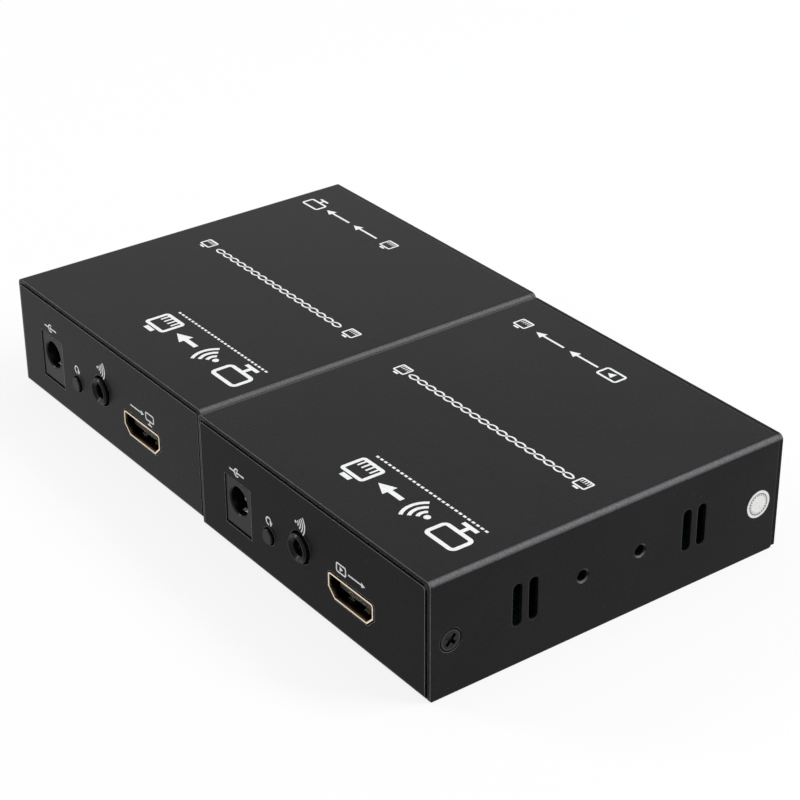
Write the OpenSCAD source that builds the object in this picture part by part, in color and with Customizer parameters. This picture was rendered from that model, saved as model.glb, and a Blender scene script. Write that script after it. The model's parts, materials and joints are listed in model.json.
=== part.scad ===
// A pair of sheet-metal boxes that carry video over a network cable: the transmitter at the
// right and the receiver at the left. Both boxes are built alike. X runs to the right, Y runs
// from the port panels to the network panels, Z is up, and the pair stands on Z = 0.
// Each box is drawn from its left outer face, its cover's front edge and its underside.

/* [Boxes] */
// Width of one box over its cover
body_w = 80; // [76:1:110]
// Depth of one cover from front edge to rear edge
body_d = 90; // [86:1:130]
// Height of one box
body_h = 27; // [24:0.5:34]
// Gap between the two boxes
unit_gap = 0.4; // [0.3:0.1:5]
// How far the receiver stands back from the transmitter
unit_shift = 1; // [0:0.5:20]

/* [Sheet metal] */
// Thickness of the sheet
sheet_t = 0.9; // [0.8:0.1:1.1]
// Inside radius of every bend
bend_inner_r = 0.4; // [0.2:0.1:0.7]
// Gap between the tray and the cover
panel_gap = 0.3; // [0.2:0.05:0.4]
// How far the port panel stands proud of the cover
front_proud = 0.4; // [0.2:0.1:0.8]
// Seam between the cover's rear edge and the network panel
rear_seam = 0.05; // [0.03:0.01:0.3]
// Radius of the flanges' lower corners
flange_corner_r = 0.5; // [0.3:0.1:2]
// Radius of the port panel's upper corners
panel_corner_r = 0.9; // [0.3:0.1:2]

/* [Cover sides] */
// Width of a vent slot
vent_w = 2.4; // [1.6:0.1:3]
// Length of a vent slot
vent_l = 9.8; // [6:0.1:14]
// Distance of the inner vent slots from the middle of the side
vent_inner = 20; // [14:0.5:24]
// Distance between two neighbouring vent slots
vent_pitch = 4; // [3.6:0.1:6]
// Distance between the two tapped holes in a side
ear_hole_spacing = 15; // [10:0.5:20]
// Core radius of a tapped hole
tap_r = 1.25; // [1:0.05:1.4]
// Radius of a tapped hole at its rounded mouth
tap_mouth_r = 1.6; // [1.5:0.05:1.8]
// Outer radius of the drawn collar behind a tapped hole
tap_collar_r = 2.1; // [1.9:0.05:2.6]
// Length of a tapped hole through sheet and collar
tap_l = 2; // [1.6:0.1:2.4]

/* [Cover screws] */
// Distance of a cover screw from the cover's front or rear edge
screw_inset = 4.9; // [4.8:0.1:7]
// Height of the cover screws
screw_z = 12.5; // [11:0.1:15]
// Radius of a countersunk head
screw_head_r = 2.6; // [2.3:0.05:2.9]
// Radius of the screw under its head
screw_neck_r = 1.45; // [1.3:0.05:1.5]
// Core radius of the screw's thread
screw_core_r = 1.22; // [0.9:0.02:1.24]
// Length of a cover screw
screw_l = 5; // [4:0.5:6]
// How far a head lies below the cover's face
screw_sink = 0.05; // [0:0.01:0.15]
// Length of the recess across the head
recess_l = 3; // [2:0.1:3.6]
// Width of a recess arm
recess_w = 0.75; // [0.5:0.05:1]
// Depth of the recess
recess_depth = 0.8; // [0.5:0.05:1]

/* [Seal] */
// Radius of the paper seal
seal_r = 3.15; // [2.8:0.05:4]
// Thickness of the seal
seal_t = 0.1; // [0.05:0.05:0.2]

/* [Circuit board] */
// Thickness of the board
board_t = 1.6; // [1:0.1:2]
// Height of the standoffs above the tray's sheet
standoff_h = 3.8; // [3.2:0.1:5]
// Radius of a standoff
standoff_r = 2.5; // [2.2:0.1:3]
// Gap between the board's long edges and the box's outer faces
board_side_gap = 4; // [3.4:0.1:5]
// Gap between the board and the panels
board_end_gap = 0.9; // [0.5:0.1:1.5]
// Distance of the board's holes from its long edges
board_hole_x = 3; // [2.7:0.1:4]
// Distance of the front holes from the board's front edge, behind the jacks
board_front_hole_y = 17; // [16.6:0.1:20]
// Distance of the rear holes from the board's rear edge
board_rear_hole_y = 7.6; // [6:0.1:12]
// Radius of the board's screw holes
board_hole_r = 1.6; // [1.5:0.05:1.9]

/* [Power jack] */
// Place of the power jack from the box's left face, as a share of the width
power_place = 0.18625; // [0.181:0.0005:0.2]
// Width of the jack's front
power_w = 9; // [8.6:0.1:9.4]
// Height of the jack's front
power_h = 11; // [10.4:0.1:12]
// Length of the jack
power_l = 14.4; // [13:0.1:16]
// Height of the jack's axis above the board
power_axis = 6.5; // [6.2:0.1:7]
// Radius of the jack's bore
power_bore_r = 3.2; // [3:0.05:3.4]
// Depth of the jack's bore
power_bore_l = 9.6; // [8:0.1:11]
// Radius of the centre pin
power_pin_r = 1.05; // [0.95:0.05:1.25]
// How far the pin's tip lies behind the jack's face
power_pin_back = 1.7; // [1:0.1:3]
// How far the jack's face lies behind the panel's face
power_set_back = 0.2; // [0:0.05:0.4]

/* [Reset switch] */
// Place of the reset button from the box's left face, as a share of the width
reset_place = 0.32875; // [0.32:0.0005:0.34]
// Height of the button's axis above the board
reset_axis = 3.9; // [3.5:0.1:4.2]
// Radius of the button
reset_r = 1.7; // [1.4:0.05:1.9]
// Radius of the panel's hole for the button
reset_hole_r = 2.1; // [2.1:0.05:2.6]
// How far the button stands out of the panel
reset_proud = 0.6; // [0.5:0.1:1.5]
// Travel of the button
reset_travel = 0.3; // [0.2:0.05:0.35]

/* [Infrared jack] */
// Place of the infrared jack from the box's left face, as a share of the width
infrared_place = 0.46875; // [0.46:0.0005:0.48]
// Height of the jack's axis above the board
infrared_axis = 7; // [6:0.1:8]
// Radius of the jack's bore
infrared_bore_r = 1.8; // [1.75:0.05:1.9]
// Radius of the jack's nose
infrared_nose_r = 3.2; // [3:0.05:3.5]
// Radius of the panel's hole for the nose
infrared_hole_r = 3.7; // [3.7:0.05:4.2]
// How far the nose stands out of the panel
infrared_proud = 1; // [0.5:0.1:1.4]
// Width of the jack's housing
infrared_w = 10; // [9:0.1:11]
// Length of the jack's housing behind the panel
infrared_l = 12; // [11:0.1:14]

/* [Video socket] */
// Place of the video socket from the box's left face, as a share of the width
video_place = 0.6875; // [0.68:0.0005:0.72]
// Width of the socket's shell
video_w = 15; // [14.6:0.1:15.4]
// Height of the socket's shell
video_h = 5.55; // [5.3:0.05:6]
// Height of the shell above the board
video_lift = 1.2; // [0.8:0.1:1.6]
// Legs of the shell's slanted lower corners
video_slant = 2.1; // [1.8:0.05:2.3]
// Length of the shell
video_l = 11.6; // [11:0.1:13]
// Thickness of the shell
video_t = 0.35; // [0.25:0.05:0.4]

/* [Network jack] */
// Place of the network jack from the box's left face, as a share of the width
network_place = 0.2875; // [0.28:0.0005:0.32]
// Width of the jack over its shield
network_w = 16; // [15.9:0.1:17]
// Height of the jack over its shield
network_h = 13.6; // [13.4:0.1:14]
// Length of the jack over its shield
network_l = 21.4; // [20.5:0.1:23]
// How far the jack stands out of the network panel
network_proud = 0.4; // [0.2:0.1:0.8]
// Width of the plug's cavity
network_cavity_w = 11.9; // [11.8:0.1:12.2]
// Depth of the plug's cavity
network_cavity_l = 13; // [12:0.1:13.5]
// Distance between two contacts
network_pitch = 1.02; // [1:0.01:1.04]

/* [Status lamps] */
// Place of the first lamp from the box's left face, as a share of the width
lamp_place = 0.6; // [0.53:0.01:0.65]
// Distance between the two lamps
lamp_pitch = 8; // [6:0.5:12]
// Height of a lamp's axis above the board
lamp_axis = 6.5; // [5:0.1:9]
// Radius of a lamp
lamp_r = 1.5; // [1.4:0.05:1.6]
// How far a lamp stands out of the panel
lamp_proud = 1; // [0.6:0.1:1.5]

/* [On the board] */
// Side of the main chip
chip_w = 17; // [14:0.5:19]
// Height of the main chip
chip_h = 1.6; // [1:0.1:2]
// Side of the heat sink
sink_w = 20; // [16:0.5:22]
// Height of the heat sink
sink_h = 6.5; // [4:0.1:8]
// Number of fins on the heat sink
sink_fins = 7; // [5:1:9]
// Radius of a capacitor
capacitor_r = 3.15; // [2.5:0.05:3.4]
// Height of a capacitor
capacitor_h = 7.7; // [5:0.1:9]

/* [Hidden] */

$fn = 48;
// How far cuts run past the faces that they open
overrun = 1;
// Running clearance inside the small parts
fit = 0.05;

// Colours
enamel_black = "#2e2e2f";
moulded_black = "#18191a";
board_green = "#1f5a34";
spring_bronze = "#c79a52";
gold_plate = "#d9b36a";
bright_steel = "#b9bcbe";
dark_screw = "#26272a";
paper_white = "#e9e9e6";

// Cover and tray
bend_r = bend_inner_r + sheet_t;
tray_x = sheet_t + panel_gap;
tray_w = body_w - 2 * tray_x;
tray_h = body_h - sheet_t - panel_gap;
rear_proud = rear_seam + sheet_t;
tray_d = front_proud + body_d + rear_proud;
wing_z = 0.5;
vent_z = body_h / 2 + 0.3;
screw_ys = [screw_inset, body_d - screw_inset];
ear_w = 6;
ear_relief = 0.8;
ear_above_screw = 4.5;
ear_corner_r = 1.5;
ear_collar_l = 1.9;
screw_seat_fit = 0.03;
head_hole_r = screw_head_r + screw_sink + screw_seat_fit;

// Board and what it stands on
board_top = sheet_t + standoff_h + board_t;
board_y = sheet_t - front_proud + board_end_gap;
board_w = body_w - 2 * board_side_gap;
board_d = body_d + rear_proud - sheet_t - board_end_gap - board_y;
board_corner_r = 1.5;
board_holes = [
    for (x = [board_hole_x, board_w - board_hole_x])
        for (y = [board_front_hole_y, board_d - board_rear_hole_y]) [board_side_gap + x, board_y + y]
];
spigot_r = 2;
board_screw_head_r = 2.75;
board_screw_head_h = 1.9;
board_screw_l = 4.6;
leg_drop = board_t + 0.7;
leg_fit = 0.15;
port_fit = 0.35;

// Power jack
power_x = power_place * body_w;
power_flange_l = 3.4;
power_core_r = 4.2;
power_mouth = 0.3;
power_gap_below = 0.6;
power_shank_r = 0.8;
power_blade_w = 2.6;
power_blade_t = 0.5;
power_rivet_r = 1.9;
power_spring_y = 1.6;
power_spring_w = 2.4;
power_spring_t = 0.3;
power_spring_rise = 0.45;
power_spring_leg_y = 8;
power_slot_w = 3;
power_slot_h = 1.5;

// Reset switch
reset_x = reset_place * body_w;
reset_body_w = 6;
reset_body_l = 3.4;
reset_body_h = 6.9;
reset_face = 3;
reset_frame_t = 0.3;
reset_frame_above = 0.3;
reset_flange_r = 2.1;
reset_cavity_r = 2.5;
reset_cavity_l = 1.5;
reset_slide_fit = 0.08;
reset_edge = 0.2;
reset_leg_w = 1.2;
dome_r = 2.2;
dome_t = 0.12;
dome_rise = 0.15;
reset_flange_l = reset_cavity_l - dome_t - dome_rise - reset_travel - 2 * fit;

// Infrared jack
infrared_x = infrared_place * body_w;
infrared_face = 2.6;
infrared_wall = 3.4;
infrared_chamfer = 0.4;
infrared_dish_r = 2.6;
infrared_dish_l = 0.7;
infrared_bore_l = 14;
sleeve_start = 1.8;
sleeve_r = 2.25;
sleeve_l = 3;
infrared_spring_w = 1.6;
infrared_spring_t = 0.25;
infrared_slot_y = 6;
infrared_slot_l = 5;

// Video socket
video_x = video_place * body_w;
video_proud = 0.1;
video_corner_r = 0.8;
video_leg_w = 1.3;
video_leg_ys = [2.2, 8.6];
video_finger_xs = [-2.7, 2.7];
video_finger_w = 1.8;
video_finger_l = 5.6;
video_finger_bow = 0.5;
video_finger_y = 1.6;
video_window_fit = 0.35;
tongue_w = 10.9;
tongue_t = 1.9;
tongue_y = 1.3;
tongue_tip = 0.5;
block_y = 8.2;
contact_pitch = 1;
contact_w = 0.32;
upper_contacts = 10;
lower_contacts = 9;
contact_t = 0.12;
contact_start = 2;
contact_back = 0.55;
contact_foot = 0.8;

// Network jack
network_x = network_place * body_w;
shield_t = 0.25;
network_cavity_z = 2.8;
network_cavity_h = 7.2;
network_wires = 8;
latch_w = 6.4;
latch_h = 1.2;
latch_slot_w = 3.6;
latch_slot_h = 0.9;
wire_w = 0.4;
wire_t = 0.35;
wire_slot_w = 0.62;
wire_top = 11;
wire_slot_h = 0.5;
wire_front = 2.8;
wire_tip_y = 11;
wire_tip_z = 7.9;
wire_tail_y = 17.6;
wire_slot_z = 6.4;
window_w = 2.5;
window_h = 2.2;
window_l = 4;
window_x = 5.9;
window_z = 11.6;
window_rim = 0.3;
network_leg_w = 1.5;
network_leg_y = 9;

// Status lamps
lamp_x = lamp_place * body_w;
lamp_flange_r = 1.85;
lamp_flange_l = 0.8;
lamp_body_l = 4.4;
lamp_lead_w = 0.5;
lamp_lead_gap = 1.27;
lamp_hole_fit = 0.15;

// On the board
chip_x = body_w / 2 + 6;
chip_y = body_d / 2 + 3;
sink_base = 1.5;
sink_fin_t = 1;
memory_w = 9;
memory_l = 12;
memory_h = 1.1;
memory_gap = 3;
capacitor_groove = 0.3;
capacitor_groove_z = 2.2;
capacitor_pitch = 8;
capacitor_y = 22;
transformer_w = 13;
transformer_l = 8;
transformer_h = 5.2;
transformer_gap = 3;
transformer_leads = 8;
transformer_lead_w = 0.5;
transformer_lead_t = 0.25;
transformer_lead_reach = 1.3;
transformer_lead_pitch = 1.5;

// Places of the two boxes
front_reach = front_proud + max(reset_proud, infrared_proud, video_proud);
rear_reach = rear_proud + max(network_proud, lamp_proud);
pair_w = 2 * body_w + unit_gap + seal_t;
pair_d = front_reach + body_d + unit_shift + rear_reach;
receiver_x = -pair_w / 2;
transmitter_x = receiver_x + body_w + unit_gap;
transmitter_y = front_reach - pair_d / 2;
receiver_y = transmitter_y + unit_shift;

// Outline of a bent strip of even thickness along a path of points
function unit(v) = v / norm(v);
function left_of(v) = [-v[1], v[0]];
function side_step(path, i) =
    let (
        last = len(path) - 1,
        before = left_of(unit(path[max(i, 1)] - path[max(i, 1) - 1])),
        after = left_of(unit(path[min(i, last - 1) + 1] - path[min(i, last - 1)]))
    )
    (before + after) / (1 + before * after);
function strip_outline(path, t) = concat(
    [for (i = [0:len(path) - 1]) path[i] + side_step(path, i) * t / 2],
    [for (i = [len(path) - 1:-1:0]) path[i] - side_step(path, i) * t / 2]
);

// A strip bent in the YZ plane, w wide along X
module strip(path, t, w) {
    translate([-w / 2, 0, 0])
        rotate([90, 0, 90])
            linear_extrude(w)
                polygon(strip_outline(path, t));
}

// A strip bent in the XY plane, w high along Z
module flat_strip(path, t, w) {
    translate([0, 0, -w / 2])
        linear_extrude(w)
            polygon(strip_outline(path, t));
}

// A leg of w by t at [x, y] that runs down from height top through the board
module leg(x, y, w, t, top, grow) {
    translate([x - w / 2 - grow, y - t / 2 - grow, -leg_drop - grow])
        cube([w + 2 * grow, t + 2 * grow, top + leg_drop + 2 * grow]);
}

// Rectangle from the origin with rounded upper corners
module round_top(w, h, r) {
    square([w, h - r]);
    translate([r, 0])
        square([w - 2 * r, h]);
    for (x = [r, w - r])
        translate([x, h - r])
            circle(r);
}

// Rectangle from the origin with four rounded corners
module round_plate(w, h, r) {
    translate([0, r])
        round_top(w, h - r, r);
    translate([r, 0])
        square([w - 2 * r, h / 2]);
    for (x = [r, w - r])
        translate([x, r])
            circle(r);
}

// Section of a sheet folded to a U that opens downwards
module u_sheet(w, h) {
    difference() {
        round_top(w, h, bend_r);
        translate([sheet_t, -overrun])
            round_top(w - 2 * sheet_t, h - sheet_t + overrun, bend_inner_r);
    }
}

// Upright slot with round ends, centred
module slot_shape(w, l) {
    translate([-w / 2, w / 2 - l / 2])
        square([w, l - w]);
    for (z = [w / 2 - l / 2, l / 2 - w / 2])
        translate([0, z])
            circle(w / 2);
}

// Cone that widens a bore towards its mouth at z = 0
module mouth_cone(mouth_r, bore_r, depth) {
    flare = (mouth_r - bore_r) / depth;
    translate([0, 0, -overrun])
        cylinder(h = depth + overrun, r1 = mouth_r + flare * overrun, r2 = bore_r);
}

// Frames of the two boxes, of their sides, ears, panels and board
module in_transmitter() {
    translate([transmitter_x, transmitter_y, 0])
        children();
}

module in_receiver() {
    translate([receiver_x, receiver_y, 0])
        children();
}

module on_sides() {
    for (side = [0, 1])
        translate([side * body_w, 0, 0])
            mirror([side, 0, 0])
                children();
}

module at_ears() {
    for (side = [0, 1])
        for (y = screw_ys)
            translate([side ? body_w - sheet_t : sheet_t, y, 0])
                mirror([side, 0, 0])
                    children();
}

module at_port(x) {
    translate([x, -front_proud, board_top])
        children();
}

module at_rear(x) {
    translate([x, body_d + rear_proud, board_top])
        rotate([0, 0, 180])
            children();
}

module at_board_holes() {
    for (p = board_holes)
        translate([p[0], p[1], 0])
            children();
}

module at_lamps() {
    for (i = [0, 1])
        at_rear(lamp_x + i * lamp_pitch)
            children();
}

// Cover: one sheet over the top and down both sides
module top_cover() {
    color(enamel_black)
        difference() {
            union() {
                intersection() {
                    translate([0, body_d, 0])
                        rotate([90, 0, 0])
                            linear_extrude(body_d)
                                u_sheet(body_w, body_h);
                    rotate([90, 0, 90])
                        linear_extrude(body_w)
                            translate([0, body_h])
                                mirror([0, 1])
                                    round_top(body_d, body_h, flange_corner_r);
                }
                on_sides()
                    at_tapped_holes()
                        cylinder(h = tap_l, r = tap_collar_r);
            }
            on_sides() {
                at_tapped_holes() {
                    translate([0, 0, -overrun])
                        cylinder(h = tap_l + 2 * overrun, r = tap_r);
                    mouth_cone(tap_mouth_r, tap_r, tap_mouth_r - tap_r);
                }
                at_cover_screws() {
                    mouth_cone(head_hole_r, head_hole_r - sheet_t, sheet_t);
                    cylinder(h = sheet_t + overrun, r = head_hole_r - sheet_t);
                }
                for (end = [-1, 1])
                    for (y = [vent_inner, vent_inner + vent_pitch])
                        translate([-overrun, body_d / 2 + end * y, vent_z])
                            rotate([90, 0, 90])
                                linear_extrude(sheet_t + 2 * overrun)
                                    slot_shape(vent_w, vent_l);
            }
        }
}

module at_tapped_holes() {
    for (end = [-1, 1])
        translate([0, body_d / 2 + end * ear_hole_spacing / 2, vent_z])
            rotate([0, 90, 0])
                children();
}

module at_cover_screws() {
    for (y = screw_ys)
        translate([0, y, screw_z])
            rotate([0, 90, 0])
                children();
}

// Tray: one sheet that forms the bottom and both end panels, with four ears for the cover screws
module bottom_tray() {
    color(enamel_black)
        difference() {
            union() {
                difference() {
                    intersection() {
                        translate([tray_x, -front_proud, 0])
                            rotate([90, 0, 90])
                                linear_extrude(tray_w)
                                    translate([0, tray_h])
                                        mirror([0, 1])
                                            u_sheet(tray_d, tray_h);
                        along_tray(-front_proud, tray_d)
                            translate([tray_x, 0])
                                round_top(tray_w, tray_h, panel_corner_r);
                    }
                    at_ears()
                        translate([-overrun, -ear_w / 2 - ear_relief, -overrun])
                            cube([bend_r + overrun, ear_w + 2 * ear_relief, bend_r + overrun]);
                }
                along_tray(body_d + rear_seam, sheet_t)
                    network_panel_shape();
                at_ears()
                    ear();
            }
            at_ears()
                translate([0, 0, screw_z])
                    rotate([0, 90, 0]) {
                        seat_r = head_hole_r - sheet_t;
                        cylinder(h = ear_collar_l + overrun, r = tap_r);
                        mouth_cone(seat_r, tap_r, seat_r - tap_r);
                    }
            at_board_holes()
                translate([0, 0, -overrun])
                    cylinder(h = sheet_t + 2 * overrun, r = spigot_r + fit);
            panel_holes();
        }
}

module along_tray(y, l) {
    translate([0, y + l, 0])
        rotate([90, 0, 0])
            linear_extrude(l)
                children();
}

// The network panel covers the cover's rear edge and has the cover's outline
module network_panel_shape() {
    translate([0, bend_r])
        round_top(body_w, body_h - bend_r, bend_r);
    for (x = [0, body_w - sheet_t])
        translate([x, wing_z])
            square([sheet_t, bend_r]);
}

// Ear bent up from the bottom sheet, with a drawn collar for the thread
module ear() {
    intersection() {
        translate([0, ear_w / 2, 0])
            rotate([90, 0, 0])
                linear_extrude(ear_w)
                    ear_section();
        translate([-overrun, -ear_w / 2, 0])
            rotate([90, 0, 90])
                linear_extrude(bend_r + 2 * overrun)
                    round_top(ear_w, screw_z + ear_above_screw, ear_corner_r);
    }
    translate([0, 0, screw_z])
        rotate([0, 90, 0])
            cylinder(h = ear_collar_l, r = tap_collar_r);
}

module ear_section() {
    translate([0, bend_r])
        square([sheet_t, screw_z + ear_above_screw - bend_r]);
    difference() {
        intersection() {
            translate([bend_r, bend_r])
                circle(bend_r);
            square([bend_r, bend_r]);
        }
        translate([bend_r, bend_r])
            circle(bend_inner_r);
    }
}

module panel_holes() {
    at_port(power_x)
        translate([-power_w / 2 - port_fit, -overrun, -power_gap_below])
            cube([
                power_w + 2 * port_fit, sheet_t + 2 * overrun,
                power_h + port_fit + power_gap_below
            ]);
    at_port(reset_x)
        translate([0, -overrun, reset_axis])
            rotate([-90, 0, 0])
                cylinder(h = sheet_t + 2 * overrun, r = reset_hole_r);
    at_port(infrared_x)
        translate([0, -overrun, infrared_axis])
            rotate([-90, 0, 0])
                cylinder(h = sheet_t + 2 * overrun, r = infrared_hole_r);
    at_port(video_x)
        translate([0, sheet_t + overrun, video_lift])
            rotate([90, 0, 0])
                linear_extrude(sheet_t + 2 * overrun)
                    video_shape(-port_fit);
    at_rear(network_x)
        translate([-network_w / 2 - port_fit, -overrun, -port_fit])
            cube([network_w + 2 * port_fit, sheet_t + 2 * overrun, network_h + 2 * port_fit]);
    at_lamps()
        translate([0, -overrun, lamp_axis])
            rotate([-90, 0, 0])
                cylinder(h = sheet_t + 2 * overrun, r = lamp_r + lamp_hole_fit);
}

// Countersunk screws that hold the cover to the tray's ears
module cover_screws() {
    head_h = screw_head_r - screw_neck_r;
    color(dark_screw)
        on_sides()
            at_cover_screws()
                translate([0, 0, screw_sink])
                    difference() {
                        union() {
                            cylinder(h = head_h, r1 = screw_head_r, r2 = screw_neck_r);
                            cylinder(h = screw_l, r = screw_core_r);
                        }
                        for (turn = [45, 135])
                            rotate([0, 0, turn])
                                translate([-recess_l / 2, -recess_w / 2, -overrun])
                                    cube([recess_l, recess_w, recess_depth + overrun]);
                    }
}

// Paper disc over the rear screw
module seal() {
    color(paper_white)
        translate([body_w, screw_ys[1], screw_z])
            rotate([0, 90, 0])
                cylinder(h = seal_t, r = seal_r);
}

// Threaded standoffs pressed into the tray
module board_standoffs() {
    color(bright_steel)
        at_board_holes()
            difference() {
                union() {
                    cylinder(h = sheet_t, r = spigot_r);
                    translate([0, 0, sheet_t])
                        cylinder(h = standoff_h, r = standoff_r);
                }
                translate([0, 0, -overrun])
                    cylinder(h = sheet_t + standoff_h + 2 * overrun, r = tap_r);
            }
}

module board_screws() {
    color(bright_steel)
        at_board_holes()
            translate([0, 0, board_top])
                difference() {
                    union() {
                        cylinder(h = board_screw_head_h, r = board_screw_head_r);
                        translate([0, 0, -board_screw_l])
                            cylinder(h = board_screw_l, r = screw_core_r);
                    }
                    for (turn = [0, 90])
                        rotate([0, 0, turn])
                            translate([-recess_l / 2, -recess_w / 2, board_screw_head_h - recess_depth])
                                cube([recess_l, recess_w, recess_depth + overrun]);
                }
}

module circuit_board() {
    color(board_green)
        difference() {
            translate([board_side_gap, board_y, board_top - board_t])
                linear_extrude(board_t)
                    round_plate(board_w, board_d, board_corner_r);
            at_board_holes()
                cylinder(h = board_top + overrun, r = board_hole_r);
            at_port(power_x)
                power_legs(leg_fit);
            at_port(reset_x)
                reset_legs(leg_fit);
            at_port(infrared_x)
                infrared_legs(leg_fit);
            at_port(video_x)
                video_legs(leg_fit);
            at_rear(network_x) {
                network_legs(leg_fit);
                network_tails(leg_fit);
            }
            at_lamps()
                lamp_legs(leg_fit);
        }
}

// Power jack. Its frame has y = 0 on the panel's face and z = 0 on the board.
power_back = power_l + power_set_back;
power_floor = power_bore_l + power_set_back;
power_slot_z = power_axis - power_bore_r - power_slot_h;

module power_jack_housing() {
    color(moulded_black)
        at_port(power_x)
            difference() {
                union() {
                    translate([-power_w / 2, power_set_back, 0])
                        cube([power_w, power_flange_l, power_h]);
                    translate([-power_core_r, power_set_back, 0])
                        cube([2 * power_core_r, power_l, power_axis]);
                    translate([0, power_set_back, power_axis])
                        rotate([-90, 0, 0])
                            cylinder(h = power_l, r = power_core_r);
                }
                translate([0, power_set_back, power_axis])
                    rotate([-90, 0, 0]) {
                        translate([0, 0, -overrun])
                            cylinder(h = power_bore_l + overrun, r = power_bore_r);
                        cylinder(h = power_l + overrun, r = power_shank_r + fit);
                        mouth_cone(power_bore_r + power_mouth, power_bore_r, power_mouth);
                    }
                translate([-power_slot_w / 2, power_spring_y, power_slot_z])
                    cube([
                        power_slot_w, power_spring_leg_y + power_spring_t - power_spring_y,
                        power_bore_r + power_slot_h
                    ]);
                translate([
                    -power_slot_w / 2, power_spring_leg_y - power_spring_t, -overrun
                ])
                    cube([power_slot_w, 2 * power_spring_t, power_slot_z + 2 * overrun]);
            }
}

module power_jack_pin() {
    color(bright_steel)
        at_port(power_x) {
            tip = power_pin_back + power_set_back + power_pin_r;
            translate([0, tip, power_axis]) {
                sphere(power_pin_r);
                rotate([-90, 0, 0]) {
                    cylinder(h = power_floor - tip, r = power_pin_r);
                    cylinder(h = power_back - tip, r = power_shank_r);
                }
            }
            translate([0, power_back, power_axis])
                rotate([-90, 0, 0])
                    cylinder(h = power_blade_t, r = power_rivet_r);
            leg(0, power_back + power_blade_t / 2, power_blade_w, power_blade_t, power_axis, 0);
        }
}

// Leaf spring that presses on the plug's barrel from below
module power_jack_spring() {
    low = power_slot_z + power_spring_t / 2 + fit;
    crest = power_axis - power_bore_r + power_spring_rise - power_spring_t / 2;
    start = power_spring_y + power_spring_t;
    color(spring_bronze)
        at_port(power_x)
            strip([
                [start, crest - power_spring_t],
                [start + 2 * power_spring_t, crest],
                [power_spring_leg_y - power_slot_h, low],
                [power_spring_leg_y, low],
                [power_spring_leg_y, -leg_drop]
            ], power_spring_t, power_spring_w);
}

module power_legs(grow) {
    leg(0, power_back + power_blade_t / 2, power_blade_w, power_blade_t, 0, grow);
    leg(0, power_spring_leg_y, power_spring_w, power_spring_t, 0, grow);
}

// Reset switch: a right-angle push switch. The button slides in the steel frame.
module reset_switch_body() {
    color(moulded_black)
        at_port(reset_x)
            difference() {
                translate([-reset_body_w / 2, reset_face, 0])
                    cube([reset_body_w, reset_body_l, reset_body_h]);
                translate([0, reset_face - overrun, reset_axis])
                    rotate([-90, 0, 0])
                        cylinder(h = reset_cavity_l + overrun, r = reset_cavity_r);
            }
}

module reset_switch_frame() {
    outer = reset_body_w / 2 + fit + reset_frame_t;
    color(bright_steel)
        at_port(reset_x)
            difference() {
                union() {
                    difference() {
                        translate([-outer, reset_face - reset_frame_t - fit, 0])
                            cube([2 * outer, reset_body_l, reset_body_h + reset_frame_above]);
                        translate([-outer + reset_frame_t, reset_face - fit, -overrun])
                            cube([
                                2 * (outer - reset_frame_t), reset_body_l,
                                reset_body_h + reset_frame_above + 2 * overrun
                            ]);
                    }
                    reset_legs(0);
                }
                translate([0, reset_face - overrun, reset_axis])
                    rotate([-90, 0, 0])
                        cylinder(h = 2 * overrun, r = reset_r + reset_slide_fit);
            }
}

module reset_legs(grow) {
    centre = reset_body_w / 2 + fit + reset_frame_t / 2;
    for (x = [-centre, centre])
        leg(x, reset_face + reset_body_l / 2, reset_frame_t, reset_leg_w, 0, grow);
}

module reset_switch_dome() {
    color(spring_bronze)
        at_port(reset_x)
            translate([0, reset_face + reset_cavity_l - dome_rise - dome_t, reset_axis])
                rotate([-90, 0, 0])
                    difference() {
                        cylinder(h = dome_t + dome_rise, r1 = dome_r - dome_rise, r2 = dome_r);
                        translate([0, 0, dome_t])
                            cylinder(h = dome_rise + overrun, r = dome_r - dome_rise - dome_t);
                    }
}

module reset_button() {
    color(moulded_black)
        at_port(reset_x)
            translate([0, -reset_proud, reset_axis])
                rotate([-90, 0, 0]) {
                    shaft = reset_proud + reset_face + fit;
                    cylinder(h = reset_edge, r1 = reset_r - reset_edge, r2 = reset_r);
                    translate([0, 0, reset_edge])
                        cylinder(h = shaft - reset_edge, r = reset_r);
                    translate([0, 0, shaft])
                        cylinder(h = reset_flange_l, r = reset_flange_r);
                }
}

// Infrared jack: a tall 3.5 mm jack with a round nose
infrared_top = infrared_axis + infrared_wall;
infrared_leg_x = infrared_w / 2 + infrared_spring_t / 2 + fit;
infrared_leg_y = infrared_face + infrared_slot_y + infrared_slot_l / 2 - infrared_spring_w / 2;

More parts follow.
